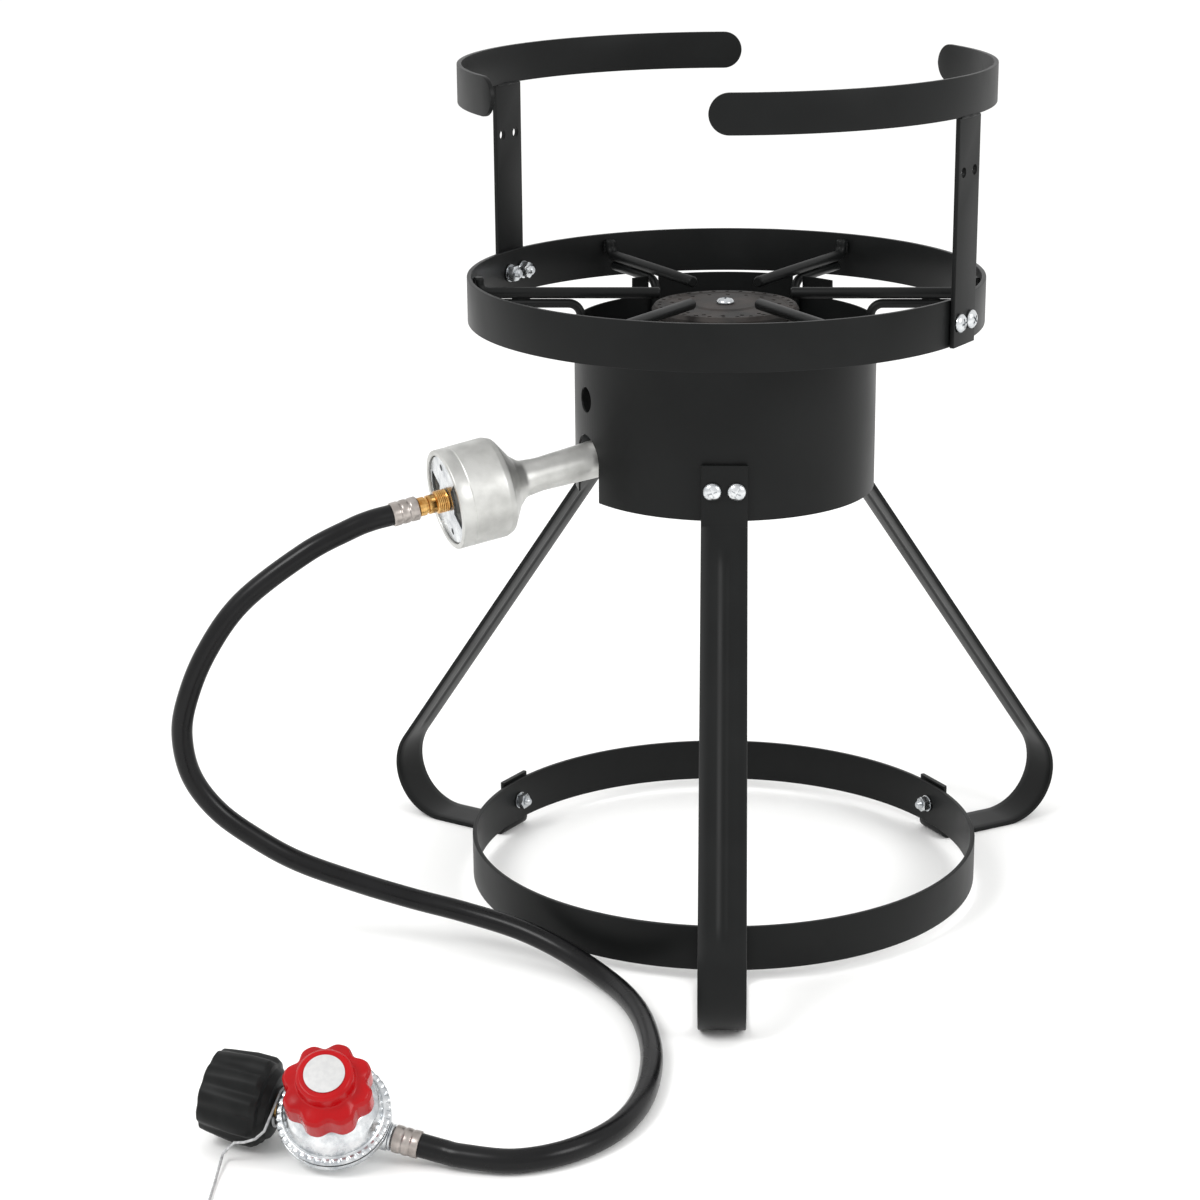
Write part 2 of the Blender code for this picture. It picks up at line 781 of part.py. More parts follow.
bridge_x = GUARD_R - GUARD_T - 1.2 * MM - STRIP_T / 2
bridge_path = filleted(
    [
        (bridge_x, 291 * MM),
        (bridge_x, BRIDGE_TOP - STRIP_T / 2),
        (-bridge_x, BRIDGE_TOP - STRIP_T / 2),
        (-bridge_x, 291 * MM),
    ],
    4 * MM,
    4,
)
burner_bridge = strip("burner_bridge", bridge_path, 25 * MM, spoke(VENTURI_AZIMUTH - 90), "black_coat")
boolean(burner_bridge, screw_passage, "DIFFERENCE")

burner_screw = fastener_mesh("burner_screw", CAP_TOP + 2 * GAP - (BRIDGE_TOP - STRIP_T))
add("burner_screw", burner_screw, STAND @ Matrix.Translation((0, 0, CAP_TOP + GAP)), "zinc")


# ---------------------------------------------------------------- venturi, air shutter and gas inlet

venturi_tube = turned(
    "venturi_tube",
    [
        (BELL_R, 0),
        (33.2 * MM, -33 * MM),
        (32.4 * MM, -36.5 * MM),
        (29 * MM, -39 * MM),
        (18 * MM, -47 * MM),
        (13 * MM, -53 * MM),
        (11 * MM, -61 * MM),
        (11 * MM, -72 * MM),
        (SPIGOT_R, TUBE_END + 45 * MM),
        (SPIGOT_R, TUBE_END),
        (10.7 * MM, TUBE_END),
        (8.8 * MM, -70 * MM),
        (9 * MM, -58 * MM),
        (16 * MM, -45 * MM),
        (29.5 * MM, -34 * MM),
        (29.5 * MM, -7 * MM),
        (9 * MM, -7 * MM),
        (9 * MM, -14 * MM),
        (5.05 * MM, -14 * MM),
        (5.05 * MM, -3.2 * MM),
        (29.5 * MM, -3.2 * MM),
        (29.5 * MM, 0),
    ],
    VENTURI,
    "cast_aluminium",
    steps=36,
)
SIDEWAYS = VENTURI @ Matrix.Rotation(math.radians(90), 4, "Z")
windows = sectors("venturi_windows", 12.5 * MM, 26 * MM, 38, -10 * MM, 0, SIDEWAYS)
boolean(venturi_tube, windows, "DIFFERENCE")

air_shutter = turned(
    "air_shutter",
    [(28.9 * MM, -1.4 * MM), (28.9 * MM, -2.9 * MM), (5.2 * MM, -2.9 * MM), (5.2 * MM, -1.4 * MM)],
    VENTURI,
    "zinc",
    steps=40,
)
shutter_windows = sectors(
    "shutter_windows", 12.5 * MM, 26 * MM, 36, -8 * MM, 4 * MM, SIDEWAYS
)
boolean(air_shutter, shutter_windows, "DIFFERENCE")
hole_places = [(22 * MM, 0, -2 * MM), (-22 * MM, 0, -2 * MM)]
shutter_holes = cylinders("shutter_holes", hole_places, 2.2 * MM, 8 * MM, VENTURI)
boolean(air_shutter, shutter_holes, "DIFFERENCE")

turned(
    "orifice_fitting",
    [
        (6.2 * MM, 19 * MM),
        (6.2 * MM, 14.2 * MM),
        (5.2 * MM, 13.8 * MM),
        (5.2 * MM, 12.6 * MM),
        (6.2 * MM, 12.2 * MM),
        (6.2 * MM, 7 * MM),
        (7.6 * MM, 6.4 * MM),
        (7.6 * MM, -1.1 * MM),
        (4.75 * MM, -1.1 * MM),
        (4.75 * MM, -16 * MM),
        (1.6 * MM, -18 * MM),
        (0.8 * MM, -18 * MM),
        (0.8 * MM, -14 * MM),
        (2.2 * MM, -12 * MM),
        (2.2 * MM, 19 * MM),
    ],
    VENTURI,
    "brass",
    steps=24,
)


def ferrule_profile(start, end, radius, bore):
    """Crimped sleeve along +Z with two rolled grooves."""
    length = end - start
    profile = [(radius - 0.6 * MM, end), (radius, end - 0.6 * MM)]
    for place in (0.66, 0.34):
        middle = start + length * place
        profile += [(radius, middle + 1.1 * MM), (radius - 0.7 * MM, middle), (radius, middle - 1.1 * MM)]
    profile += [(radius, start + 0.6 * MM), (radius - 0.6 * MM, start), (bore, start), (bore, end)]
    return profile


BURNER_FERRULE = (19.3 * MM, 37 * MM)
burner_sleeve = ferrule_profile(*BURNER_FERRULE, 7.9 * MM, 2.2 * MM)
turned("hose_ferrule_burner", burner_sleeve, VENTURI, "zinc", steps=20)


# ---------------------------------------------------------------- regulator

FLANGE_LOW = 6 * MM
FLANGE_MID = 10 * MM

regulator_body = turned(
    "regulator_body",
    [
        (0, 9 * MM),
        (22 * MM, 9 * MM),
        (24 * MM, FLANGE_MID),
        (FLANGE_R, FLANGE_MID),
        (FLANGE_R, FLANGE_LOW),
        (28.5 * MM, 4.5 * MM),
        (26.5 * MM, 0),
        (22 * MM, -7.5 * MM),
        (18.5 * MM, -10 * MM),
        (0, -10 * MM),
    ],
    REGULATOR,
    "zinc",
    steps=40,
)
inlet_profile = [(0, 33 * MM), (8.6 * MM, 33 * MM), (8.6 * MM, 0), (0, 0)]
inlet_boss = turned_cutter("inlet_boss", inlet_profile, INLET)
outlet_profile = [(0, 32.8 * MM), (8.2 * MM, 32.8 * MM), (8.2 * MM, 0), (0, 0)]
outlet_boss = turned_cutter("outlet_boss", outlet_profile, OUTLET)
port_profile = [(0, 40 * MM), (3 * MM, 40 * MM), (3 * MM, 8 * MM), (0, 6 * MM)]
port_in = turned_cutter("inlet_port", port_profile, INLET)
port_profile = [(0, 40 * MM), (3.7 * MM, 40 * MM), (3.7 * MM, 12 * MM), (0, 10 * MM)]
port_out = turned_cutter("outlet_port", port_profile, OUTLET)
rise_places = [(11 * MM, 0, 5 * MM), (-14 * MM, 0, 5 * MM)]
rises = cylinders("chamber_ports", rise_places, 1.8 * MM, 12 * MM, REGULATOR, 12)
boolean(regulator_body, inlet_boss, "UNION")
boolean(regulator_body, outlet_boss, "UNION")
boolean(regulator_body, port_in, "DIFFERENCE")
boolean(regulator_body, port_out, "DIFFERENCE")
boolean(regulator_body, rises, "DIFFERENCE")

turned(
    "diaphragm",
    [(0, 11.5 * MM), (FLANGE_R - 0.5 * MM, 11.5 * MM), (FLANGE_R - 0.5 * MM, 10.3 * MM), (0, 10.3 * MM)],
    REGULATOR,
    "seal_rubber",
    steps=48,
)
turned(
    "regulator_bonnet",
    [
        (11 * MM, 36.5 * MM),
        (11 * MM, 33.5 * MM),
        (14 * MM, 31.5 * MM),
        (21 * MM, 28 * MM),
        (26.4 * MM, 22 * MM),
        (28.2 * MM, 16 * MM),
        (28.4 * MM, 14.6 * MM),
        (FLANGE_R, 14 * MM),
        (FLANGE_R, 11.8 * MM),
        (24.5 * MM, 11.8 * MM),
        (24.2 * MM, 16 * MM),
        (22.5 * MM, 20 * MM),
        (18 * MM, 25 * MM),
        (10 * MM, 29.6 * MM),
        (10 * MM, 31.2 * MM),
        (6.25 * MM, 31.2 * MM),
        (6.25 * MM, 36.5 * MM),
    ],
    REGULATOR,
    "zinc",
    steps=40,
)
turned(
    "spring_plate",
    [(0, 26.6 * MM), (8.6 * MM, 26.6 * MM), (8.6 * MM, 24.6 * MM), (0, 24.6 * MM)],
    REGULATOR,
    "zinc",
    steps=24,
)


def spring_points():
    turns, per_turn = 4.5, 12
    low, high = 12.8 * MM, 23.3 * MM
    points = []
    for i in range(int(turns * per_turn) + 1):
        t = i / (turns * per_turn)
        angle = math.tau * turns * t
        points.append((6.5 * MM * math.cos(angle), 6.5 * MM * math.sin(angle), low + (high - low) * t))
    return points


coil = wire_curve("regulator_spring", spring_points(), 0.9 * MM, 1)
add("regulator_spring", coil, REGULATOR, "spring_steel")

turned(
    "adjusting_screw",
    [(0, 50 * MM), (5.9 * MM, 50 * MM), (5.9 * MM, 28 * MM), (4.9 * MM, 26.9 * MM), (0, 26.9 * MM)],
    REGULATOR,
    "zinc",
    steps=24,
)
knob = lobed(
    "regulator_knob",
    [
        (0, 0, 60 * MM),
        (14.6 * MM, 0, 60 * MM),
        (16 * MM, 0, 58.6 * MM),
        (16.6 * MM, 0, 50.6 * MM),
        (22.5 * MM, 2.6 * MM, 49.6 * MM),
        (25 * MM, 3.8 * MM, 48.2 * MM),
        (KNOB_R, 4.4 * MM, 45.5 * MM),
        (KNOB_R, 4.4 * MM, 33 * MM),
        (KNOB_R - 2.4 * MM, 4.2 * MM, 33 * MM),
        (KNOB_R - 2.6 * MM, 4.2 * MM, 46 * MM),
        (9 * MM, 0, 46.5 * MM),
        (9 * MM, 0, 38 * MM),
        (6.2 * MM, 0, 38 * MM),
        (6.2 * MM, 0, 50.3 * MM),
        (0, 0, 50.3 * MM),
    ],
    KNOB_LOBES,
    REGULATOR,
    "red_plastic",
    48,
)
turned(
    "knob_label",
    [(0, 60.7 * MM), (LABEL_R, 60.7 * MM), (LABEL_R, 60.3 * MM), (0, 60.3 * MM)],
    REGULATOR,
    "label_paper",
    steps=40,
)

turned(
    "inlet_nipple",
    [
        (4.2 * MM, 68 * MM),
        (6 * MM, 65.5 * MM),
        (6 * MM, 46 * MM),
        (10.5 * MM, 45 * MM),
        (10.5 * MM, 41.5 * MM),
        (6.8 * MM, 41.5 * MM),
        (6.8 * MM, 33.3 * MM),
        (2.6 * MM, 33.3 * MM),
        (2.6 * MM, 68 * MM),
    ],
    INLET,
    "brass",
    steps=20,
)
turned(
    "inlet_seal",
    [(7.4 * MM, 61.6 * MM), (7.4 * MM, 58.4 * MM), (6.3 * MM, 58.4 * MM), (6.3 * MM, 61.6 * MM)],
    INLET,
    "seal_rubber",
    steps=20,
)
lobed(
    "tank_nut",
    [
        (21.5 * MM, 0, 76.5 * MM),
        (23.4 * MM, 1.2 * MM, 75 * MM),
        (24.2 * MM, 2.2 * MM, 71 * MM),
        (NUT_R, 2.6 * MM, 52 * MM),
        (NUT_R, 2.6 * MM, 44 * MM),
        (24.4 * MM, 1.6 * MM, 40.5 * MM),
        (21.5 * MM, 0.5 * MM, 39.5 * MM),
        (19 * MM, 0, 36 * MM),
        (13 * MM, 0, 35 * MM),
        (7.2 * MM, 0, 35 * MM),
        (7.2 * MM, 0, 41.2 * MM),
        (12 * MM, 0, 41.2 * MM),
        (17.2 * MM, 0, 47 * MM),
        (17.2 * MM, 0, 76.5 * MM),
    ],
    NUT_LOBES,
    INLET,
    "black_plastic",
    50,
)

turned(
    "regulator_outlet",
    [
        (7 * MM, 35 * MM),
        (7.6 * MM, 34.6 * MM),
        (7.6 * MM, 33.1 * MM),
        (3.4 * MM, 33.1 * MM),
        (3.4 * MM, 22 * MM),
        (1.9 * MM, 22 * MM),
        (1.9 * MM, 35 * MM),
    ],
    OUTLET,
    "zinc",
    steps=20,
)
REGULATOR_FERRULE = (35.3 * MM, 50.7 * MM)
turned(
    "hose_ferrule_regulator",
    ferrule_profile(*REGULATOR_FERRULE, 7.9 * MM, 2.2 * MM),
    OUTLET,
    "zinc",
    steps=20,
)


# ---------------------------------------------------------------- hose and tie

# The hose hangs from the burner's ferrule in a wide bow, comes down to the ground in front of the lower
# ring, and loops round on the ground to the regulator.
HOSE_ROUTE = [
    (-0.240, -0.060, 0.2835),
    (-0.268, -0.069, 0.2700),
    (-0.308, -0.077, 0.2400),
    (-0.332, -0.081, 0.2070),
    (-0.346, -0.083, 0.1740),
    (-0.350, -0.083, 0.1490),
    (-0.345, -0.082, 0.1220),
    (-0.329, -0.081, 0.0980),
    (-0.304, -0.080, 0.0780),
    (-0.278, -0.078, 0.0620),
    (-0.242, -0.077, 0.0480),
    (-0.206, -0.079, 0.0375),
    (-0.170, -0.084, 0.0300),
    (-0.132, -0.096, 0.0230),
    (-0.101, -0.113, 0.0150),
    (-0.073, -0.140, 0.0080),
    (-0.057, -0.170, 0.0072),
    (-0.047, -0.205, 0.0072),
    (-0.042, -0.250, 0.0072),
    (-0.046, -0.300, 0.0072),
    (-0.060, -0.338, 0.0072),
    (-0.085, -0.365, 0.0072),
    (-0.115, -0.378, 0.0074),
    (-0.145, -0.375, 0.0084),
]


def smooth_route(points, spacing):
    """Points at this spacing along a Catmull-Rom curve through the route."""
    points = [Vector(p) for p in points]
    ends = [2 * points[0] - points[1]] + points + [2 * points[-1] - points[-2]]
    fine = []
    for a, b, c, d in zip(ends, ends[1:], ends[2:], ends[3:]):
        for i in range(20):
            t = i / 20
            fine.append(
                b + 0.5 * (c - a) * t + (a - 2.5 * b + 2 * c - 0.5 * d) * t**2 + 0.5 * (3 * b - a - 3 * c + d) * t**3
            )
    fine.append(points[-1])
    lengths = [0]
    for one, two in zip(fine, fine[1:]):
        lengths.append(lengths[-1] + (two - one).length)
    count = round(lengths[-1] / spacing)
    out = []
    k = 0
    for i in range(count + 1):
        want = lengths[-1] * i / count
        while k < len(lengths) - 2 and lengths[k + 1] < want:
            k += 1
        out.append(fine[k].lerp(fine[k + 1], (want - lengths[k]) / (lengths[k + 1] - lengths[k])))
    return out


def hose_points():
    """The route, led straight out of each ferrule."""
    start = [VENTURI @ Vector((0, 0, BURNER_FERRULE[1] + GAP + d)) for d in (0, 14 * MM)]
    end = [OUTLET @ Vector((0, 0, REGULATOR_FERRULE[1] + GAP + d)) for d in (14 * MM, 0)]
    points = smooth_route(start + HOSE_ROUTE + end, 17 * MM)
    points[1] = start[1]
    points[-2] = end[0]
    return points


add("hose", wire_curve("hose", hose_points(), HOSE_R, 3), Matrix(), "hose_rubber")


def tie_points():
    """Loop in the gap between flange and nut, then a tail past the nut's front and out along the ground."""
    loop_r = 11.2 * MM
    plane = 33.75 * MM
    points = []
    for i in range(16):
        angle = math.radians(390 - 20 * i)
        points.append(REGULATOR @ Vector((plane, loop_r * math.cos(angle), loop_r * math.sin(angle))))
    for x, y, z in ((33.8, 14, 11), (34.2, 21, 10), (38, 26, 8), (44, 28.6, 5.5), (50, 29.2, 3)):
        points.append(REGULATOR @ Vector((x * MM, y * MM, z * MM)))
    ground = [(-0.2810, -0.3700, 0.0050), (-0.2814, -0.3740, 0.0034), (-0.2812, -0.3950, 0.0014)]
    return points + [Vector(p) for p in ground] + [Vector((-0.2805, -0.4320, 0.0012))]


add("tag_tie", wire_curve("tag_tie", tie_points(), TIE_R, 1), Matrix(), "nylon")
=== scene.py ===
# %% [markdown]
# # Propane burner stand
#
# A three-legged steel stand holds a cast burner inside a round wind guard. Six bars carry the pot, two
# curved arms keep it from sliding off, and a hose feeds the burner from a knob-set regulator. The packed
# CAD model is the fixed frame: every piece made here sits where its CAD solid sits.

import json
import math

import bmesh
import bpy
from mathutils import Matrix, Vector

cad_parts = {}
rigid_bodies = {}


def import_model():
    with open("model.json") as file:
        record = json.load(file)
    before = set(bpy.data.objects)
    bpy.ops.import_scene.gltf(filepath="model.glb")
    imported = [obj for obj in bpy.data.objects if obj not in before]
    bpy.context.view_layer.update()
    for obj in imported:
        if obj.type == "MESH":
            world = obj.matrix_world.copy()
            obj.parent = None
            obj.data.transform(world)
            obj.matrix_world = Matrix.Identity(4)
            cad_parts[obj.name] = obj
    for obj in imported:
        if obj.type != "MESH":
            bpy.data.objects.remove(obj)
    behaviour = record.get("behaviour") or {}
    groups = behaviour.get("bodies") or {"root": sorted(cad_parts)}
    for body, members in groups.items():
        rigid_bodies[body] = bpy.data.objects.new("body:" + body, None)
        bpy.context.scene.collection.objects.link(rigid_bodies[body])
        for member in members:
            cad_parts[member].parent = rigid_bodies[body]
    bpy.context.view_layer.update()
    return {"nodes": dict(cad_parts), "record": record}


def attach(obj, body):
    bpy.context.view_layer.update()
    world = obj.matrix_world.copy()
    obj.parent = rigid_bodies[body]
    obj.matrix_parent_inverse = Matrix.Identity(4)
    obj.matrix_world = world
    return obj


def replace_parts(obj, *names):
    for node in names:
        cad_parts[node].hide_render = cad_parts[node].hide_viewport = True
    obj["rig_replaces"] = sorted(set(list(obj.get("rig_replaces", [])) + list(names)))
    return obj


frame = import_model()
MM = 0.001

# %% [markdown]
# ## Frames
#
# Nearly every piece is turned, bent or pressed about one of three lines: the stand's upright axis, the
# venturi's dipping axis and the regulator's leaning screw. A matrix for each lets a piece be described in
# its own simple numbers and then put in place once.

# %% The three working frames
STAND_Y = 48.75 * MM
STAND = Matrix.Translation((0, STAND_Y, 0))


def turn_about(degrees, axis):
    return Matrix.Rotation(math.radians(degrees), 4, axis)


def spoke(azimuth):
    """The stand's frame turned so that +X points out along this azimuth."""
    return STAND @ turn_about(azimuth, "Z")


def outward(azimuth, radius, across, z):
    """A frame whose +Z points away from the stand's axis."""
    return spoke(azimuth) @ Matrix.Translation((radius, across, z)) @ turn_about(90, "Y")


VENTURI_AZIMUTH, VENTURI_DIP = 204.8, 9.03
VENTURI_REACH, VENTURI_Z = 198.7 * MM, 296.5 * MM
VENTURI = outward(VENTURI_AZIMUTH, VENTURI_REACH, 0, VENTURI_Z) @ turn_about(VENTURI_DIP, "Y")
REGULATOR_CENTRE = Vector((-0.2180, -0.3578, 0.0194))
screw_up = turn_about(36.7, "X") @ Vector((0, 0, 1))
inlet = turn_about(167.5, "Z") @ Vector((1, 0, 0))
inlet.z = -inlet.dot(screw_up) / screw_up.z
inlet.normalize()
REGULATOR = Matrix.Translation(REGULATOR_CENTRE) @ Matrix(
    (inlet, screw_up.cross(inlet), screw_up)
).transposed().to_4x4()
INLET = REGULATOR @ turn_about(90, "Y")
OUTLET = REGULATOR @ turn_about(-90, "Y")
print("regulator screw points along", [round(v, 4) for v in screw_up])

# %% [markdown]
# ## Camera
#
# The stand is seen from a little above the pot ring with a long lens, which keeps the rings as calm
# ellipses and the posts upright.

# %% Camera
yaw, pitch, roll = (math.radians(a) for a in (-2.630, 17.198, -0.493))
look = Vector((math.sin(yaw) * math.cos(pitch), math.cos(yaw) * math.cos(pitch), -math.sin(pitch)))
level = look.cross(Vector((0, 0, 1))).normalized()
above = level.cross(look)
right = level * math.cos(roll) + above * math.sin(roll)
above = above * math.cos(roll) - level * math.sin(roll)
camera_data = bpy.data.cameras.new("camera")
camera_data.sensor_width = 36
camera_data.lens = 84.7
camera_data.clip_end = 50
camera = bpy.data.objects.new("camera", camera_data)
camera.matrix_world = Matrix.Translation((0, -1.8384 + STAND_Y, 0.7733)) @ Matrix(
    (right, above, -look)
).transposed().to_4x4()
bpy.context.scene.collection.objects.link(camera)
bpy.context.scene.camera = camera
print("camera at", [round(v, 3) for v in camera.location], "lens", camera_data.lens)

# %% [markdown]
# ## Finishes
#
# Colours are written as the sRGB hex values that a paint chart or a picture editor shows, and turned to
# the linear values that the shader works in. One helper adds a node with its settings and links. Pieces
# are stored in world metres, so a pattern that repeats every n millimetres has a scale of 1000 / n.

# %% Colour and node helpers


def colour(code):
    """An sRGB hex value as linear red, green, blue and alpha."""
    channels = [int(code[i : i + 2], 16) / 255 for i in (1, 3, 5)]
    return (*[c / 12.92 if c <= 0.04045 else ((c + 0.055) / 1.055) ** 2.4 for c in channels], 1.0)


def node(tree, kind, inputs=None, **settings):
    """Add one node. An input given as another node's output is linked, and any other value is set."""
    made = tree.nodes.new(kind)
    for key, value in settings.items():
        setattr(made, key, value)
    for key, value in (inputs or {}).items():
        if isinstance(value, bpy.types.NodeSocket):
            tree.links.new(value, made.inputs[key])
        else:
            made.inputs[key].default_value = value
    return made


MATERIALS = {}


def start_material(slot, name):
    """An empty material for one of the record's slots, with its shader, output and place in the piece."""
    material = bpy.data.materials.new(name)
    material.use_nodes = True
    tree = material.node_tree
    tree.nodes.clear()
    shader = node(tree, "ShaderNodeBsdfPrincipled")
    node(tree, "ShaderNodeOutputMaterial", {"Surface": shader.outputs[0]})
    place = node(tree, "ShaderNodeTexCoord").outputs["Object"]
    MATERIALS[slot] = material
    return tree, shader, place


def per_mm(millimetres):
    """Texture scale for a pattern this big."""
    return 1000 / millimetres


def lay_finish(tree, shader, stain, tones, grain, depth, values, gloss=None):
    """Lay two tones over the stain, raise the grain, and set the values that are the same all over. depth is
    the bump's strength and its height, and gloss the roughness where the stain is low and where it is high."""
    low, dark, high, light = tones
    ramp = node(tree, "ShaderNodeValToRGB", {"Fac": stain})
    for stop, position, code in zip(ramp.color_ramp.elements, (low, high), (dark, light)):
        stop.position = position
        stop.color = colour(code)
    tree.links.new(ramp.outputs["Color"], shader.inputs["Base Color"])
    if gloss:
        span = {"From Min": 0.3, "From Max": 0.7, "To Min": gloss[0], "To Max": gloss[1]}
        rough = node(tree, "ShaderNodeMapRange", {"Value": stain, **span})
        tree.links.new(rough.outputs["Result"], shader.inputs["Roughness"])
    skin = node(tree, "ShaderNodeBump", {"Height": grain, "Strength": depth[0], "Distance": depth[1]})
    tree.links.new(skin.outputs["Normal"], shader.inputs["Normal"])
    for key, value in values.items():
        shader.inputs[key].default_value = value


# %% [markdown]
# ### Powder coat
#
# The stand's steel is sprayed with black polyester powder and baked. The powder melts into a satin skin
# with a faint orange peel about 1.5 mm across, which breaks up reflections without looking rough. A slow
# change of gloss keeps large flat faces from looking like cut paper.

# %% Satin black powder coat
tree, shader, place = start_material("black_coat", "satin_black_powder_coat")
drift = node(tree, "ShaderNodeTexNoise", {"Vector": place, "Scale": per_mm(60), "Detail": 3.0})
peel = node(tree, "ShaderNodeTexNoise", {"Vector": place, "Scale": per_mm(1.5), "Detail": 2.0})
lay_finish(tree, shader, drift.outputs["Fac"], (0.3, "#0e0f0f", 0.7, "#141515"), peel.outputs["Fac"], (0.10, 0.2 * MM),
           {"Specular IOR Level": 0.14}, gloss=(0.36, 0.46))
print("made", MATERIALS["black_coat"].name)

# %% [markdown]
# ### Bright zinc plate
#
# Screws, ferrules and the regulator's shell are plated or cast in zinc: a cool bright metal with a soft
# cloudy bloom where the plating took unevenly.

# %% Bright zinc
tree, shader, place = start_material("zinc", "bright_zinc_plate")
bloom = node(tree, "ShaderNodeTexNoise", {"Vector": place, "Scale": per_mm(9), "Detail": 4.0, "Roughness": 0.6})
grain = node(tree, "ShaderNodeTexNoise", {"Vector": place, "Scale": per_mm(0.9), "Detail": 2.0})
lay_finish(tree, shader, bloom.outputs["Fac"], (0.32, "#a9adb1", 0.68, "#dfe1e2"), grain.outputs["Fac"],
           (0.12, 0.2 * MM), {"Metallic": 1.0}, gloss=(0.34, 0.18))
print("made", MATERIALS["zinc"].name)

# %% [markdown]
# ### Cast aluminium
#
# The venturi is a sand casting that has been tumbled. It is pale and nearly white, with a fine sandy
# grain under 1 mm and wide soft patches where the mould was rougher.

# %% Matt cast aluminium
tree, shader, place = start_material("cast_aluminium", "tumbled_cast_aluminium")
patch = node(tree, "ShaderNodeTexNoise", {"Vector": place, "Scale": per_mm(14), "Detail": 4.0})
sand = node(tree, "ShaderNodeTexNoise", {"Vector": place, "Scale": per_mm(0.8), "Detail": 3.0})
pits = node(tree, "ShaderNodeTexVoronoi", {"Vector": place, "Scale": per_mm(4)}, feature="F1")
pit_edge = node(
    tree, "ShaderNodeMapRange", {"Value": pits.outputs["Distance"], "From Min": 0.0, "From Max": 0.12, "To Min": 0.0}
)
height = node(tree, "ShaderNodeMath", {0: sand.outputs["Fac"], 1: pit_edge.outputs["Result"]}, operation="ADD")
lay_finish(tree, shader, patch.outputs["Fac"], (0.3, "#b4b4b1", 0.65, "#c9c9c6"), height.outputs[0], (0.22, 0.3 * MM),
           {"Metallic": 0.9}, gloss=(0.46, 0.40))
print("made", MATERIALS["cast_aluminium"].name)

# %% [markdown]
# ### Crimped sleeves
#
# The hose ferrules are pressed steel sleeves with a warm grey satin plate, a little cloudy from handling.

# %% Satin plated sleeves
tree, shader, place = start_material("sleeve", "satin_nickel_plated_sleeve")
cloud = node(tree, "ShaderNodeTexNoise", {"Vector": place, "Scale": per_mm(6), "Detail": 2.0})
lay_finish(tree, shader, cloud.outputs["Fac"], (0.35, "#9a938e", 0.7, "#b4ada8"), cloud.outputs["Fac"],
           (0.03, 0.2 * MM), {"Metallic": 1.0, "Roughness": 0.3})
print("made", MATERIALS["sleeve"].name)

# %% [markdown]
# ### Cast iron
#
# The burner's bowl and cap are grey iron, blackened by heat. Iron poured in green sand keeps a coarse
# grain of about 1 mm, and the heat leaves faint brown clouds.

# %% Blackened cast iron
tree, shader, place = start_material("cast_iron", "heat_blackened_cast_iron")
cloud = node(tree, "ShaderNodeTexNoise", {"Vector": place, "Scale": per_mm(18), "Detail": 4.0})
sand = node(tree, "ShaderNodeTexNoise", {"Vector": place, "Scale": per_mm(1.1), "Detail": 4.0})
lay_finish(tree, shader, cloud.outputs["Fac"], (0.35, "#262524", 0.7, "#3a3431"), sand.outputs["Fac"],
           (0.5, 0.5 * MM), {"Roughness": 0.72, "Metallic": 0.3})
print("made", MATERIALS["cast_iron"].name)

# %% [markdown]
# ### Brass
#
# The gas fittings are turned from brass bar. Turning leaves fine bands, and handling leaves warmer,
# duller patches between bright ones.

# %% Turned brass
tree, shader, place = start_material("brass", "turned_brass")
stain = node(tree, "ShaderNodeTexNoise", {"Vector": place, "Scale": per_mm(6), "Detail": 3.0})
fine = node(tree, "ShaderNodeTexNoise", {"Vector": place, "Scale": per_mm(0.6), "Detail": 2.0})
lay_finish(tree, shader, stain.outputs["Fac"], (0.32, "#a67236", 0.62, "#d8ae6c"), fine.outputs["Fac"],
           (0.08, 0.2 * MM), {"Metallic": 1.0, "Roughness": 0.26})
print("made", MATERIALS["brass"].name)

# %% [markdown]
# ### Hose cover
#
# The gas hose has an extruded synthetic rubber cover, dense black and shiny. Extrusion leaves a very
# slight ripple a few millimetres long.

# %% Gloss rubber hose cover
tree, shader, place = start_material("hose_rubber", "extruded_rubber_hose_cover")
ripple = node(tree, "ShaderNodeTexNoise", {"Vector": place, "Scale": per_mm(7), "Detail": 2.0})
dust = node(tree, "ShaderNodeTexNoise", {"Vector": place, "Scale": per_mm(30), "Detail": 3.0})
lay_finish(tree, shader, dust.outputs["Fac"], (0.35, "#0b0b0c", 0.75, "#121213"), ripple.outputs["Fac"],
           (0.08, 0.4 * MM), {"Specular IOR Level": 0.2}, gloss=(0.22, 0.32))
print("made", MATERIALS["hose_rubber"].name)

# %% [markdown]
# ### Plastics, label, tie and the hidden parts
#
# The knob is a gloss red moulding, the cylinder nut a spark-textured black one. The label is plain white
# film, left blank. The tie is grey nylon. The spring, the diaphragm and the seal are seen only when the
# regulator is taken apart.

# %% Moulded plastics
tree, shader, place = start_material("red_plastic", "gloss_red_moulded_plastic")
flow = node(tree, "ShaderNodeTexNoise", {"Vector": place, "Scale": per_mm(25), "Detail": 2.0})
wave = node(tree, "ShaderNodeTexNoise", {"Vector": place, "Scale": per_mm(5), "Detail": 1.0})
lay_finish(tree, shader, flow.outputs["Fac"], (0.35, "#96040a", 0.7, "#a8060c"), wave.outputs["Fac"],
           (0.05, 0.4 * MM), {"Roughness": 0.24, "Specular IOR Level": 0.2})

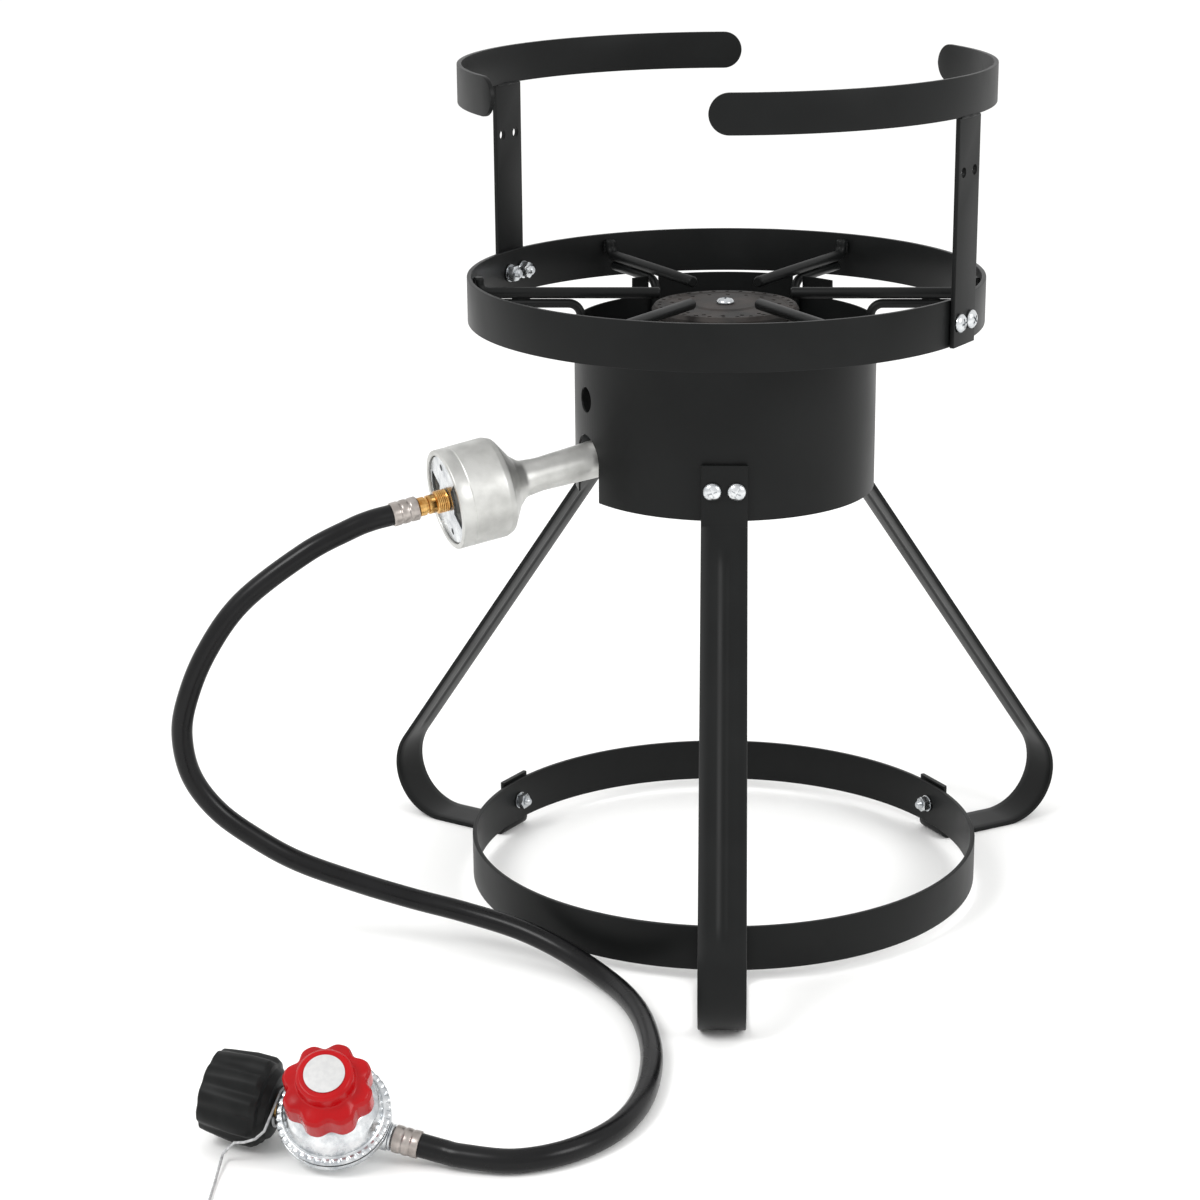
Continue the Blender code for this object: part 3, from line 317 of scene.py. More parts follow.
tree, shader, place = start_material("black_plastic", "textured_black_moulded_plastic")
spark = node(tree, "ShaderNodeTexNoise", {"Vector": place, "Scale": per_mm(0.8), "Detail": 3.0})
scuff = node(tree, "ShaderNodeTexNoise", {"Vector": place, "Scale": per_mm(12), "Detail": 4.0})
lay_finish(tree, shader, scuff.outputs["Fac"], (0.4, "#0e0f0f", 0.75, "#181919"), spark.outputs["Fac"],
           (0.2, 0.2 * MM), {"Roughness": 0.48, "Specular IOR Level": 0.16})
print("made", MATERIALS["red_plastic"].name, "and", MATERIALS["black_plastic"].name)

# %% Small and hidden finishes
SMALL_FINISHES = {
    "label_paper": ("blank_white_film", "#b4b4b4", "#bcbcbb", 0.45, 0.0, 3.0),
    "nylon": ("grey_nylon_cord", "#8f9091", "#b4b5b6", 0.38, 0.0, 2.0),
    "spring_steel": ("oiled_spring_steel", "#6f7072", "#9a9b9d", 0.32, 1.0, 1.5),
    "seal_rubber": ("moulded_seal_rubber", "#1b1b1b", "#262626", 0.65, 0.0, 1.5),
}
for slot, (name, dark, light, roughness, metallic, size) in SMALL_FINISHES.items():
    tree, shader, place = start_material(slot, name)
    mottle = node(tree, "ShaderNodeTexNoise", {"Vector": place, "Scale": per_mm(size), "Detail": 3.0})
    lay_finish(tree, shader, mottle.outputs["Fac"], (0.35, dark, 0.65, light), mottle.outputs["Fac"],
               (0.08, 0.2 * MM), {"Roughness": roughness, "Metallic": metallic})
print("made", len(MATERIALS), "finishes")

# %% [markdown]
# ## Shaping tools
#
# Four ways of making a shape cover the whole stand, and they match how the real pieces are made: turning
# a profile, running a section along a bent path, bending a flat wall round an axis, and cutting one
# shape out of another.


def put(name, mesh, matrix, finish, body="stand", stands_for=(), crease=32):
    """Bake the mesh into world metres, shade it, and hand it to the frame."""
    mesh.transform(matrix)
    mesh.materials.clear()
    mesh.materials.append(MATERIALS[finish])
    mesh.shade_smooth()
    mesh.set_sharp_from_angle(angle=math.radians(crease))
    piece = bpy.data.objects.new(name, mesh)
    bpy.context.scene.collection.objects.link(piece)
    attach(piece, body)
    if stands_for:
        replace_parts(piece, *stands_for)
    return piece


def from_bmesh(name, bm, recalculate=True):
    if recalculate:
        bmesh.ops.recalc_face_normals(bm, faces=bm.faces)
    mesh = bpy.data.meshes.new(name)
    bm.to_mesh(mesh)
    bm.free()
    return mesh


# %% Rounded corners


def in_mm(rows):
    """Rows of millimetre values, in metres."""
    return [tuple(value * MM for value in row) for row in rows]


def ease(points, radius, closed, count=3):
    """The outline with each corner rounded, as far as its neighbours leave room. A corner may be given as
    (x, y, radius) to have its own."""
    places = [Vector(p[:2]) for p in points]
    radii = [p[2] if len(p) > 2 else radius for p in points]
    out = []
    last = len(places) - 1
    for i, corner in enumerate(places):
        if not closed and i in (0, last):
            out.append(corner)
            continue
        back = places[i - 1] - corner
        on = places[(i + 1) % len(places)] - corner
        angle = back.angle(on)
        if radii[i] <= 0 or angle > math.radians(172):
            out.append(corner)
            continue
        reach = min(radii[i] / math.tan(angle / 2), 0.42 * back.length, 0.42 * on.length)
        one = corner + back.normalized() * reach
        two = corner + on.normalized() * reach
        for k in range(count + 1):
            t = k / count
            out.append(one * (1 - t) ** 2 + corner * 2 * t * (1 - t) + two * t**2)
    return out


def bend(corners, radius, count=8):
    """A path through these corners with round bends between straight runs."""
    places = [Vector(c) for c in corners]
    path = [places[0]]
    for before, corner, after in zip(places, places[1:], places[2:]):
        back = (before - corner).normalized()
        on = (after - corner).normalized()
        half = back.angle(on) / 2
        centre = corner + (back + on).normalized() * radius / math.sin(half)
        start = corner + back * radius / math.tan(half) - centre
        stop = corner + on * radius / math.tan(half) - centre
        sweep = start.angle(stop)
        for k in range(count + 1):
            t = k / count
            path.append(centre + (start * math.sin((1 - t) * sweep) + stop * math.sin(t * sweep)) / math.sin(sweep))
    return path + [places[-1]]


# %% Turned shapes


def revolve(name, profile, steps=96, lobes=0):
    """Turn a profile of (radius, z) or (radius, z, lobe depth) about +Z. It is closed unless it starts on
    the axis."""
    bm = bmesh.new()
    rows = []
    for point in profile:
        radius, z = point[0], point[1]
        depth = point[2] if len(point) > 2 else 0
        if radius < 1e-7:
            rows.append([bm.verts.new((0, 0, z))])
            continue
        row = []
        for i in range(steps):
            angle = math.tau * i / steps
            dip = (1 - math.cos(lobes * angle)) / 2
            r = radius - depth * dip**1.6
            row.append(bm.verts.new((r * math.cos(angle), r * math.sin(angle), z)))
        rows.append(row)
    pairs = list(zip(rows, rows[1:]))
    if len(rows[0]) > 1:
        pairs.append((rows[-1], rows[0]))
    for one, two in pairs:
        for i in range(steps):
            j = (i + 1) % steps
            ring = [one[i % len(one)], one[j % len(one)], two[j % len(two)], two[i % len(two)]]
            corners = [v for k, v in enumerate(ring) if v not in ring[:k]]
            if len(corners) > 2:
                bm.faces.new(corners)
    return from_bmesh(name, bm)


# %% Swept shapes


def sweep(name, stations, section):
    """Run a closed section along stations of (place, side, up), closing both ends. The section may be a
    function of the station's number."""
    bm = bmesh.new()
    rows = []
    for i, (place, side, up) in enumerate(stations):
        outline = section(i) if callable(section) else section
        rows.append([bm.verts.new(place + side * x + up * y) for x, y in outline])
    for one, two in zip(rows, rows[1:]):
        for i in range(len(one)):
            j = (i + 1) % len(one)
            bm.faces.new((one[i], one[j], two[j], two[i]))
    bm.faces.new(rows[0])
    bm.faces.new(rows[-1])
    return from_bmesh(name, bm)


def box_outline(width, height, radius, count=3):
    half_w, half_h = width / 2, height / 2
    corners = [(-half_w, -half_h), (half_w, -half_h), (half_w, half_h), (-half_w, half_h)]
    return ease(corners, radius, True, count)


def round_outline(radius, sides=24):
    return [(radius * math.cos(math.tau * i / sides), radius * math.sin(math.tau * i / sides)) for i in range(sides)]


def flat_stations(path):
    """Stations along a path of (out, up) points in the XZ plane, with the side across it."""
    stations = []
    for i, point in enumerate(path):
        before = (point - path[i - 1]).normalized() if i else None
        after = (path[i + 1] - point).normalized() if i < len(path) - 1 else before
        before = before or after
        along = (before + after).normalized()
        stretch = 1 / max(along.dot(after), 0.5)
        stations.append(
            (Vector((point.x, 0, point.y)), Vector((0, 1, 0)), Vector((-along.y, 0, along.x)) * stretch)
        )
    return stations


def rod(name, path, radius, sides=24):
    """A round bar along a path of (out, up) points, with its ends eased."""
    stations = flat_stations(path)
    eased = []
    for k, shrink in ((0, 0.75), (1, 0.93), (2, 1.0)):
        eased.append((0.35 * radius * (k / 2), shrink))
    first, second = stations[0], stations[1]
    along = (second[0] - first[0]).normalized()
    start = [((first[0] + along * d, first[1], first[2]), s) for d, s in eased]
    final, nearly = stations[-1], stations[-2]
    along = (nearly[0] - final[0]).normalized()
    stop = [((final[0] + along * d, final[1], final[2]), s) for d, s in reversed(eased)]
    full = start + [(s, 1.0) for s in stations[1:-1]] + stop
    sizes = [s for _, s in full]
    return sweep(name, [s for s, _ in full], lambda i: round_outline(radius * sizes[i], sides))


# %% Cutting and joining


def combine(mesh, other, operation):
    """Cut the other mesh from this one, or join it on."""
    holders = []
    for data in (mesh, other):
        holder = bpy.data.objects.new("tool", data)
        bpy.context.scene.collection.objects.link(holder)
        holders.append(holder)
    change = holders[0].modifiers.new("change", "BOOLEAN")
    change.operation = operation
    change.solver = "EXACT"
    change.object = holders[1]
    bpy.context.view_layer.update()
    graph = bpy.context.evaluated_depsgraph_get()
    made = bpy.data.meshes.new_from_object(holders[0].evaluated_get(graph))
    for holder in holders:
        bpy.data.objects.remove(holder)
    return made


def pegs(places, radius, length, sides=24):
    """One mesh of cylinders along +Z, each centred on its place."""
    bm = bmesh.new()
    for place in places:
        bmesh.ops.create_cone(
            bm, cap_ends=True, segments=sides, radius1=radius, radius2=radius, depth=length,
            matrix=Matrix.Translation(place),
        )
    return from_bmesh("pegs", bm)


def prism(outline, bottom, top):
    """An outline of (x, y) points stretched along +Z."""
    bm = bmesh.new()
    low = [bm.verts.new((x, y, bottom)) for x, y in outline]
    high = [bm.verts.new((x, y, top)) for x, y in outline]
    bm.faces.new(low)
    bm.faces.new(high)
    for i in range(len(low)):
        j = (i + 1) % len(low)
        bm.faces.new((low[i], low[j], high[j], high[i]))
    return from_bmesh("prism", bm)


def merged(name, meshes):
    """Several meshes as one, each keeping its own closed surface."""
    bm = bmesh.new()
    for mesh in meshes:
        bm.from_mesh(mesh)
    return from_bmesh(name, bm, recalculate=False)


def moved(mesh, matrix):
    copy = mesh.copy()
    copy.transform(matrix)
    return copy


print("tools ready")

# %% [markdown]
# ## Gas hose
#
# The hose is about 14 mm thick and a metre long. It leaves the burner's ferrule along the venturi's line,
# bows out and down under its own weight, reaches the ground in front of the lower ring and loops round to
# the regulator, which lies on the ground. A smooth curve through a few resting places gives that lie.

# %% Hose route
BURNER_HOSE_END = VENTURI @ Vector((0, 0, 37.3 * MM))
REGULATOR_HOSE_END = OUTLET @ Vector((0, 0, 51.0 * MM))
HOSE_ROUTE = [
    tuple(BURNER_HOSE_END),
    tuple(VENTURI @ Vector((0, 0, 51.3 * MM))),
    (-0.240, -0.060, 0.2835),
    (-0.268, -0.069, 0.2700),
    (-0.308, -0.077, 0.2400),
    (-0.332, -0.081, 0.2070),
    (-0.346, -0.083, 0.1740),
    (-0.350, -0.083, 0.1490),
    (-0.345, -0.082, 0.1220),
    (-0.329, -0.081, 0.0980),
    (-0.304, -0.080, 0.0780),
    (-0.278, -0.078, 0.0620),
    (-0.242, -0.077, 0.0480),
    (-0.206, -0.079, 0.0375),
    (-0.170, -0.084, 0.0300),
    (-0.132, -0.096, 0.0230),
    (-0.101, -0.113, 0.0150),
    (-0.073, -0.140, 0.0080),
    (-0.057, -0.170, 0.0072),
    (-0.047, -0.205, 0.0072),
    (-0.042, -0.250, 0.0072),
    (-0.046, -0.300, 0.0072),
    (-0.060, -0.338, 0.0072),
    (-0.085, -0.365, 0.0072),
    (-0.115, -0.378, 0.0074),
    (-0.145, -0.375, 0.0084),
    tuple(OUTLET @ Vector((0, 0, 65.0 * MM))),
    tuple(REGULATOR_HOSE_END),
]


def smooth(points, per_span):
    """A Catmull-Rom curve through the points."""
    points = [Vector(p) for p in points]
    ends = [2 * points[0] - points[1]] + points + [2 * points[-1] - points[-2]]
    curve = []
    for a, b, c, d in zip(ends, ends[1:], ends[2:], ends[3:]):
        for i in range(per_span):
            t = i / per_span
            curve.append(
                0.5 * (2 * b + (c - a) * t + (2 * a - 5 * b + 4 * c - d) * t**2 + (3 * b - a - 3 * c + d) * t**3)
            )
    return curve + [points[-1]]


def tube(name, points, radius, sides=24):
    """A round tube along a path in space, its section carried along without twisting."""
    points = [Vector(p) for p in points]
    tangents = []
    for i in range(len(points)):
        ahead = points[min(i + 1, len(points) - 1)] - points[max(i - 1, 0)]
        tangents.append(ahead.normalized())
    side = tangents[0].orthogonal().normalized()
    stations = []
    for point, tangent in zip(points, tangents):
        side = (side - tangent * side.dot(tangent)).normalized()
        stations.append((point, side, tangent.cross(side)))
    return sweep(name, stations, round_outline(radius, sides))


HOSE_POINTS = smooth(HOSE_ROUTE, 8)
hose = put("gas_hose", tube("gas_hose", HOSE_POINTS, 6.9 * MM, 32), Matrix(), "hose_rubber", stands_for=["hose"])

# %% [markdown]
# ## Fasteners
#
# Each joint of the stand is an M6 pan-head screw with a cross recess, a washer and a hexagon nut, bright
# zinc against the black coat. The recess is two crossed slots. The thread is drawn as rings 0.9 mm apart
# rather than a helix: at this size nobody can tell, and it stays a clean closed shape.

# %% Build one fastener
HEAD_R = 6 * MM
HEAD_H = 3.6 * MM


def fastener(name, grip):
    """Screw, washer and nut. The head's underside is at z = 0 and the washer's face at -grip."""
    tail = -grip - 9 * MM
    thread = []
    z = tail + 0.5 * MM
    while z < -grip - 1.2 * MM:
        thread += [(2.55 * MM, z), (2.95 * MM, z + 0.45 * MM)]
        z += 0.9 * MM
    dome = [(0, HEAD_H), (2.6 * MM, HEAD_H - 0.18 * MM), (4.5 * MM, HEAD_H - 0.85 * MM)]
    dome += [(5.7 * MM, HEAD_H - 1.9 * MM), (HEAD_R, HEAD_H - 2.8 * MM), (HEAD_R, 0.25 * MM), (5.8 * MM, 0)]
    profile = dome + [(2.95 * MM, 0), (2.95 * MM, -grip - 1 * MM)] + thread[::-1] + [(2.0 * MM, tail), (0, tail)]
    screw = revolve(name, profile, 40)
    arm, half = 3.1 * MM, 0.62 * MM
    cross = [(arm, half), (half, half), (half, arm), (-half, arm), (-half, half), (-arm, half)]
    cross += [(-x, -y) for x, y in cross]
    screw = combine(screw, prism(cross, HEAD_H - 1.7 * MM, HEAD_H + 2 * MM), "DIFFERENCE")
    washer = revolve(
        "washer",
        ease([(HEAD_R, -grip - 0.05 * MM), (HEAD_R, -grip - 1.05 * MM), (3.2 * MM, -grip - 1.05 * MM),
              (3.2 * MM, -grip - 0.05 * MM)], 0.2 * MM, True, 2),
        40,
    )
    top = -grip - 1.15 * MM
    low = top - 4.6 * MM
    flats = 10 * MM / 2 / math.cos(math.pi / 6)
    hexagon = [(flats * math.cos(math.tau * i / 6), flats * math.sin(math.tau * i / 6)) for i in range(6)]
    chamfer = revolve(
        "chamfer",
        [(0, top), (4.6 * MM, top), (5.9 * MM, top - 0.75 * MM), (5.9 * MM, low + 0.75 * MM), (4.6 * MM, low),
         (0, low)],
        48,
    )
    nut = combine(prism(hexagon, low - 1 * MM, top + 1 * MM), chamfer, "INTERSECT")
    return merged(name, [screw, washer, nut])


print("a fastener has", len(fastener("sample", 5 * MM).polygons), "faces")

# %% Put the fasteners in
GAP = 0.3 * MM
STRIP_T = 3 * MM
PAIR = 7.75 * MM


def inside_flat(radius, half_width):
    """Where a flat washer meets the inside of a curved wall."""
    return math.sqrt(radius**2 - half_width**2) - GAP


GUARD_R, GUARD_T = 100 * MM, 1.2 * MM
LOWER_R, RING_R = 174.5 * MM, 170 * MM
LEG_FACE, FOOT_FACE, POST_FACE = GUARD_R + GAP, LOWER_R + GAP, RING_R + GAP
leg_grip = LEG_FACE + STRIP_T + GAP - inside_flat(GUARD_R - GUARD_T, PAIR + HEAD_R)
foot_grip = FOOT_FACE + STRIP_T + GAP - inside_flat(LOWER_R - STRIP_T, HEAD_R)
post_grip = POST_FACE + STRIP_T + GAP - inside_flat(RING_R - STRIP_T, PAIR + HEAD_R)
LEGS = {"front": -90, "right": 30, "left": 150}
POSTS = {"right": -30, "left": 150}


def fit_screw(node_name, grip, azimuth, face, across, z, twist):
    place = outward(azimuth, face + STRIP_T + GAP, across, z) @ turn_about(twist, "Z")
    put(f"{node_name}_detail", fastener(node_name, grip), place, "zinc", stands_for=[node_name], crease=35)


for k, (side, azimuth) in enumerate(LEGS.items()):
    fit_screw(f"leg_bolt_{side}_a", leg_grip, azimuth, LEG_FACE, -PAIR, 308 * MM, 20 + 31 * k)
    fit_screw(f"leg_bolt_{side}_b", leg_grip, azimuth, LEG_FACE, PAIR, 308 * MM, 62 + 17 * k)
    fit_screw(f"foot_bolt_{side}", foot_grip, azimuth, FOOT_FACE, 0, 24 * MM, 35 + 25 * k)
for k, (side, azimuth) in enumerate(POSTS.items()):
    fit_screw(f"guard_bolt_{side}_a", post_grip, azimuth, POST_FACE, -PAIR, 415 * MM, 12 + 40 * k)
    fit_screw(f"guard_bolt_{side}_b", post_grip, azimuth, POST_FACE, PAIR, 415 * MM, 50 + 40 * k)
CAP_TOP, BRIDGE_TOP = 409 * MM, 306.6 * MM
burner_grip = CAP_TOP + 2 * GAP - (BRIDGE_TOP - STRIP_T)
put(
    "burner_screw_detail",
    fastener("burner_screw", burner_grip),
    STAND @ Matrix.Translation((0, 0, CAP_TOP + GAP)),
    "zinc",
    stands_for=["burner_screw"],
    crease=35,
)
print("fitted 14 fasteners")

# %% [markdown]
# ## Rings
#
# Both rings are 30 by 3 mm strip rolled into a hoop and welded. The eased edges catch a thin line of
# light, which is what tells the eye the strip's thickness. A low ridge marks the ground-down butt weld.

# %% Rings


def hoop(name, radius, bottom, weld_azimuth):
    corners = [(radius, bottom), (radius, bottom + 30 * MM), (radius - 3 * MM, bottom + 30 * MM),
               (radius - 3 * MM, bottom)]
    mesh = revolve(name, ease(corners, 0.6 * MM, True, 3), 256)
    for vertex in mesh.vertices:
        angle = math.degrees(math.atan2(vertex.co.y, vertex.co.x)) - weld_azimuth
        away = math.hypot(vertex.co.x, vertex.co.y)
        ridge = 0.35 * MM * math.exp(-(((angle + 180) % 360 - 180) / 1.1) ** 2)
        scale = (away + (ridge if away > radius - 1 * MM else 0)) / away
        vertex.co.x *= scale
        vertex.co.y *= scale
    return mesh


put("lower_ring_hoop", hoop("lower_ring_hoop", LOWER_R, 9 * MM, 93), STAND, "black_coat", stands_for=["lower_ring"])
put("top_ring_hoop", hoop("top_ring_hoop", RING_R, 400 * MM, 78), STAND, "black_coat", stands_for=["top_ring"])
print("rings are", 2 * LOWER_R / MM, "and", 2 * RING_R / MM, "mm across")

# %% [markdown]
# ## Legs
#
# Each leg is one strip bent three times: flat against the wind guard, out and down, round a wide heel,
# and up against the lower ring. A shallow bead pressed along the slanted run stiffens it. The strip is a
# section run along its middle line, and the bead is a bump in that section that fades in and out.

# %% Leg shape
LEG_REACH, HEEL_R = 272 * MM, 38 * MM
BEAD_W, BEAD_H = 9 * MM, 0.8 * MM
tab_x, foot_x = LEG_FACE + STRIP_T / 2, FOOT_FACE + STRIP_T / 2
heel_r = HEEL_R - STRIP_T / 2
heel = Vector((LEG_REACH - HEEL_R, HEEL_R))
knee = Vector((tab_x, 285 * MM))
run = heel - knee
slope = math.atan2(run.y, run.x) + math.asin(heel_r / run.length)
touch = heel + heel_r * Vector((-math.sin(slope), math.cos(slope)))
leg_line = bend([(tab_x, 325 * MM), knee, touch], 6 * MM)[:-1]
slant_from = len(leg_line)
SLANT_STEPS = 60
leg_line += [knee.lerp(touch, 0.04 + 0.96 * k / SLANT_STEPS) for k in range(SLANT_STEPS)]
start_angle = slope + math.pi / 2
for k in range(25):
    angle = start_angle + (-math.pi / 2 - start_angle) * k / 24
    leg_line.append(heel + heel_r * Vector((math.cos(angle), math.sin(angle))))
leg_line += bend([(heel.x, STRIP_T / 2), (foot_x, STRIP_T / 2), (foot_x, 41 * MM)], 4.5 * MM, 6)[1:]


def leg_section(i):
    """The strip's outline at one station, with the bead where the leg slants."""
    along = (i - slant_from) / SLANT_STEPS
    rise = max(0.0, min(1.0, min(along - 0.02, 0.98 - along) / 0.04)) if 0 < along < 1 else 0.0
    rise = BEAD_H * rise * rise * (3 - 2 * rise)
    half_w, half_t, soft = 15 * MM, STRIP_T / 2, 0.7 * MM
    across = [-14.3, -9, -4.6, -3.6, -2.6, -1.6, 0, 1.6, 2.6, 3.6, 4.6, 9, 14.3]

    def lift(x):
        away = abs(x) / (BEAD_W / 2 / MM)
        return rise * (0.5 + 0.5 * math.cos(math.pi * min(1.0, away)))

    top = [(x * MM, half_t + lift(x)) for x in across]
    low = [(x * MM, -half_t + lift(x)) for x in reversed(across)]
    corner = soft * 0.3
    return (
        top
        + [(half_w - corner, half_t - corner), (half_w, half_t - soft), (half_w, -half_t + soft),
           (half_w - corner, -half_t + corner)]
        + low
        + [(-half_w + corner, -half_t + corner), (-half_w, -half_t + soft), (-half_w, half_t - soft),
           (-half_w + corner, half_t - corner)]
    )


for side, azimuth in LEGS.items():
    mesh = sweep(f"leg_{side}_strip", flat_stations(leg_line), leg_section)
    put(f"leg_{side}_strip", mesh, spoke(azimuth), "black_coat", stands_for=[f"leg_{side}"], crease=40)
print("each leg's strip is", round(sum((b - a).length for a, b in zip(leg_line, leg_line[1:])) / MM), "mm long")

# %% [markdown]
# ## Pot bars and hangers
#
# Six round bars point at the middle. Each is bent up at its outer end and welded to the ring's inside, and
# a thinner bent wire hangs the wind guard from it. The welds are short lumpy fillets.

# %% Bars and hangers
BAR_R, BAR_Z = 3.75 * MM, 416 * MM
tip_x = RING_R - STRIP_T - GAP - BAR_R
hanger_x = GUARD_R - GUARD_T - GAP - 3 * MM
hanger_z = 408.95 * MM
for number in range(1, 7):
    place = spoke(60 * (number - 1))
    path = bend([(43 * MM, BAR_Z), (tip_x, BAR_Z), (tip_x, 426.5 * MM)], 6.5 * MM)
    put(f"pot_bar_{number}_rod", rod("bar", path, BAR_R), place, "black_coat", stands_for=[f"pot_bar_{number}"])
    path = bend([(tip_x - 5 * MM, hanger_z), (hanger_x, hanger_z), (hanger_x, 368 * MM)], 8 * MM)
    put(
        f"guard_hanger_{number}_rod",
        rod("hanger", path, 3 * MM),
        place,
        "black_coat",
        stands_for=[f"guard_hanger_{number}"],
    )
print("six bars with tips", round(tip_x / MM, 1), "mm from the axis")

# %% Weld fillets


def weld(points, radius):
    """A short lumpy fillet along a few points: a tube whose thickness swells and pinches."""
    line = smooth(points, 5)
    tangent = (line[-1] - line[0]).normalized()
    side = tangent.orthogonal().normalized()
    up = tangent.cross(side)
    count = len(line) - 1

    def outline(i):
        t = i / count
        swell = 0.35 + 0.65 * math.sin(math.pi * min(max(t, 0.02), 0.98)) ** 0.5
        return round_outline(radius * swell * (1 + 0.16 * math.sin(14 * t)), 10)

    return sweep("weld", [(p, side, up) for p in line], outline)


fillets = []
for number in range(6):
    place = Matrix.Rotation(math.radians(60 * number), 4, "Z")
    for across in (-1, 1):
        edge = tip_x + 2.2 * MM
        points = [place @ Vector((edge, across * 2.9 * MM, z * MM)) for z in (417.5, 420, 423, 425.5)]
        fillets.append(weld(points, 1.15 * MM))
        edge = GUARD_R - GUARD_T - 0.9 * MM
        points = [place @ Vector((edge, across * 2.3 * MM, z * MM)) for z in (370, 376, 383, 389)]
        fillets.append(weld(points, 1.0 * MM))
    points = [place @ Vector((tip_x - x * MM, 0, BAR_Z - BAR_R - 0.2 * MM)) for x in (34, 30, 26, 22)]
    fillets.append(weld(points, 1.2 * MM))
put("weld_fillets", merged("weld_fillets", fillets), STAND, "black_coat", crease=60)
print("laid", len(fillets), "weld fillets")

# %% [markdown]
# ## Pot guards
#
# An upright strip is bolted to each side of the top ring and carries a curved arm with rounded ends. The
# spare pair of holes higher up lets the arm be bolted the other way up for a wider pot.

# %% Posts
ARM_R, ARM_BOTTOM, ARM_W = 173.5 * MM, 543 * MM, 25 * MM
for side, azimuth in POSTS.items():
    post_x = POST_FACE + STRIP_T / 2
    line = [Vector((post_x, z)) for z in (ARM_BOTTOM - GAP, 480 * MM, 400 * MM)]
    mesh = sweep("post", flat_stations(line), box_outline(30 * MM, STRIP_T, 0.7 * MM))
    drill = turn_about(90, "Y")
    holes = pegs([(-509 * MM, y, POST_FACE) for y in (-PAIR, PAIR)], 3.3 * MM, 16 * MM)
    mesh = combine(mesh, moved(holes, drill), "DIFFERENCE")
    put(f"guard_post_{side}_strip", mesh, spoke(azimuth), "black_coat", stands_for=[f"guard_post_{side}"])
print("posts reach", round((ARM_BOTTOM - GAP) / MM, 1), "mm")

# %% Arms


def arm(name):
    """A curved strip about +Z, centred on +X, whose height falls to nothing at its rounded ends."""
    half, length = ARM_W / 2, ARM_R * math.radians(63.5)
    places = []
    for k in range(13):
        t = math.radians(4 + 86 * k / 12)
        places.append((half * (1 - math.cos(t)), half * math.sin(t)))
    offsets = [(-length + d, h) for d, h in places]
    offsets += [(-length + half + (2 * length - 2 * half) * i / 64, half) for i in range(1, 64)]
    offsets += [(length - d, h) for d, h in reversed(places)]
    stations, heights = [], []
    for s, height in offsets:
        angle = s / ARM_R
        out = Vector((math.cos(angle), math.sin(angle), 0))
        middle = out * (ARM_R - STRIP_T / 2) + Vector((0, 0, ARM_BOTTOM + half))
        stations.append((middle, out, Vector((0, 0, 1))))
        heights.append(height)
    return sweep(name, stations, lambda i: box_outline(STRIP_T, 2 * heights[i], 0.6 * MM))


for side, azimuth in POSTS.items():
    put(f"guard_arm_{side}_strip", arm("arm"), spoke(azimuth), "black_coat", stands_for=[f"guard_arm_{side}"])
beads = []
for azimuth in POSTS.values():
    around = Matrix.Rotation(math.radians(azimuth), 4, "Z")
    for x in (POST_FACE + 0.2 * MM, POST_FACE + STRIP_T - 0.2 * MM):
        points = [around @ Vector((x, y * MM, ARM_BOTTOM - 0.2 * MM)) for y in (-13, -6, 0, 6, 13)]
        beads.append(weld(points, 1.0 * MM))
put("arm_welds", merged("arm_welds", beads), STAND, "black_coat", crease=60)
print("arms span", 127, "degrees each")

# %% [markdown]
# ## Wind guard
#
# The guard is thin sheet rolled into a cylinder. It has an arched notch for the venturi, a round hole to
# put a match through, a taller lip at the back slotted for two hangers, and holes for the leg screws. It
# is built as a wall, and the notch, the match hole and the two slots are cut out of it, as a punch would;
# the screw holes are not cut.

# %% Wind guard
GUARD_BOTTOM, GUARD_TOP, GUARD_BACK = 287.5 * MM, 398.5 * MM, 411.5 * MM


def guard_wall():
    bm = bmesh.new()
    angles = sorted(set([2.0 * i for i in range(180)] + [42.9, 43.1, 129.9, 130.1]))
    rows = []
    for azimuth in angles:
        top = GUARD_BACK if 43 < azimuth < 130 else GUARD_TOP
        soft = 0.35 * MM
        outer, inner = GUARD_R, GUARD_R - GUARD_T
        section = [(outer, GUARD_BOTTOM + soft), (outer, top - soft), (outer - soft, top), (inner + soft, top),
                   (inner, top - soft), (inner, GUARD_BOTTOM + soft), (inner + soft, GUARD_BOTTOM),
                   (outer - soft, GUARD_BOTTOM)]
        c, s = math.cos(math.radians(azimuth)), math.sin(math.radians(azimuth))
        rows.append([bm.verts.new((r * c, r * s, z)) for r, z in section])
    for one, two in zip(rows, rows[1:] + rows[:1]):
        for i in range(len(one)):
            j = (i + 1) % len(one)
            bm.faces.new((one[i], one[j], two[j], two[i]))
    return from_bmesh("wind_guard_wall", bm)


half = 17.5 * MM
arch = [(half * math.cos(math.pi * i / 32), 330 * MM - half + half * math.sin(math.pi * i / 32)) for i in range(33)]
arch = [(half, 270 * MM)] + arch + [(-half, 270 * MM)]
punch = prism([(-z, y) for y, z in arch], 85 * MM, 115 * MM)
wall = guard_wall()
toward_notch = Matrix.Rotation(math.radians(VENTURI_AZIMUTH), 4, "Z") @ turn_about(90, "Y")
wall = combine(wall, moved(punch, toward_notch), "DIFFERENCE")
wall = combine(wall, moved(pegs([(-353.5 * MM, 0, GUARD_R)], 8.5 * MM, 20 * MM, 48), toward_notch), "DIFFERENCE")
slot = in_mm([(402.45, -4), (402.45, 4), (425, 4), (425, -4)])
for azimuth in (60, 120):
    toward = Matrix.Rotation(math.radians(azimuth), 4, "Z") @ turn_about(90, "Y")
    wall = combine(wall, moved(prism([(-z, y) for z, y in slot], 85 * MM, 115 * MM), toward), "DIFFERENCE")
put("wind_guard_sheet", wall, STAND, "black_coat", stands_for=["wind_guard"], crease=30)
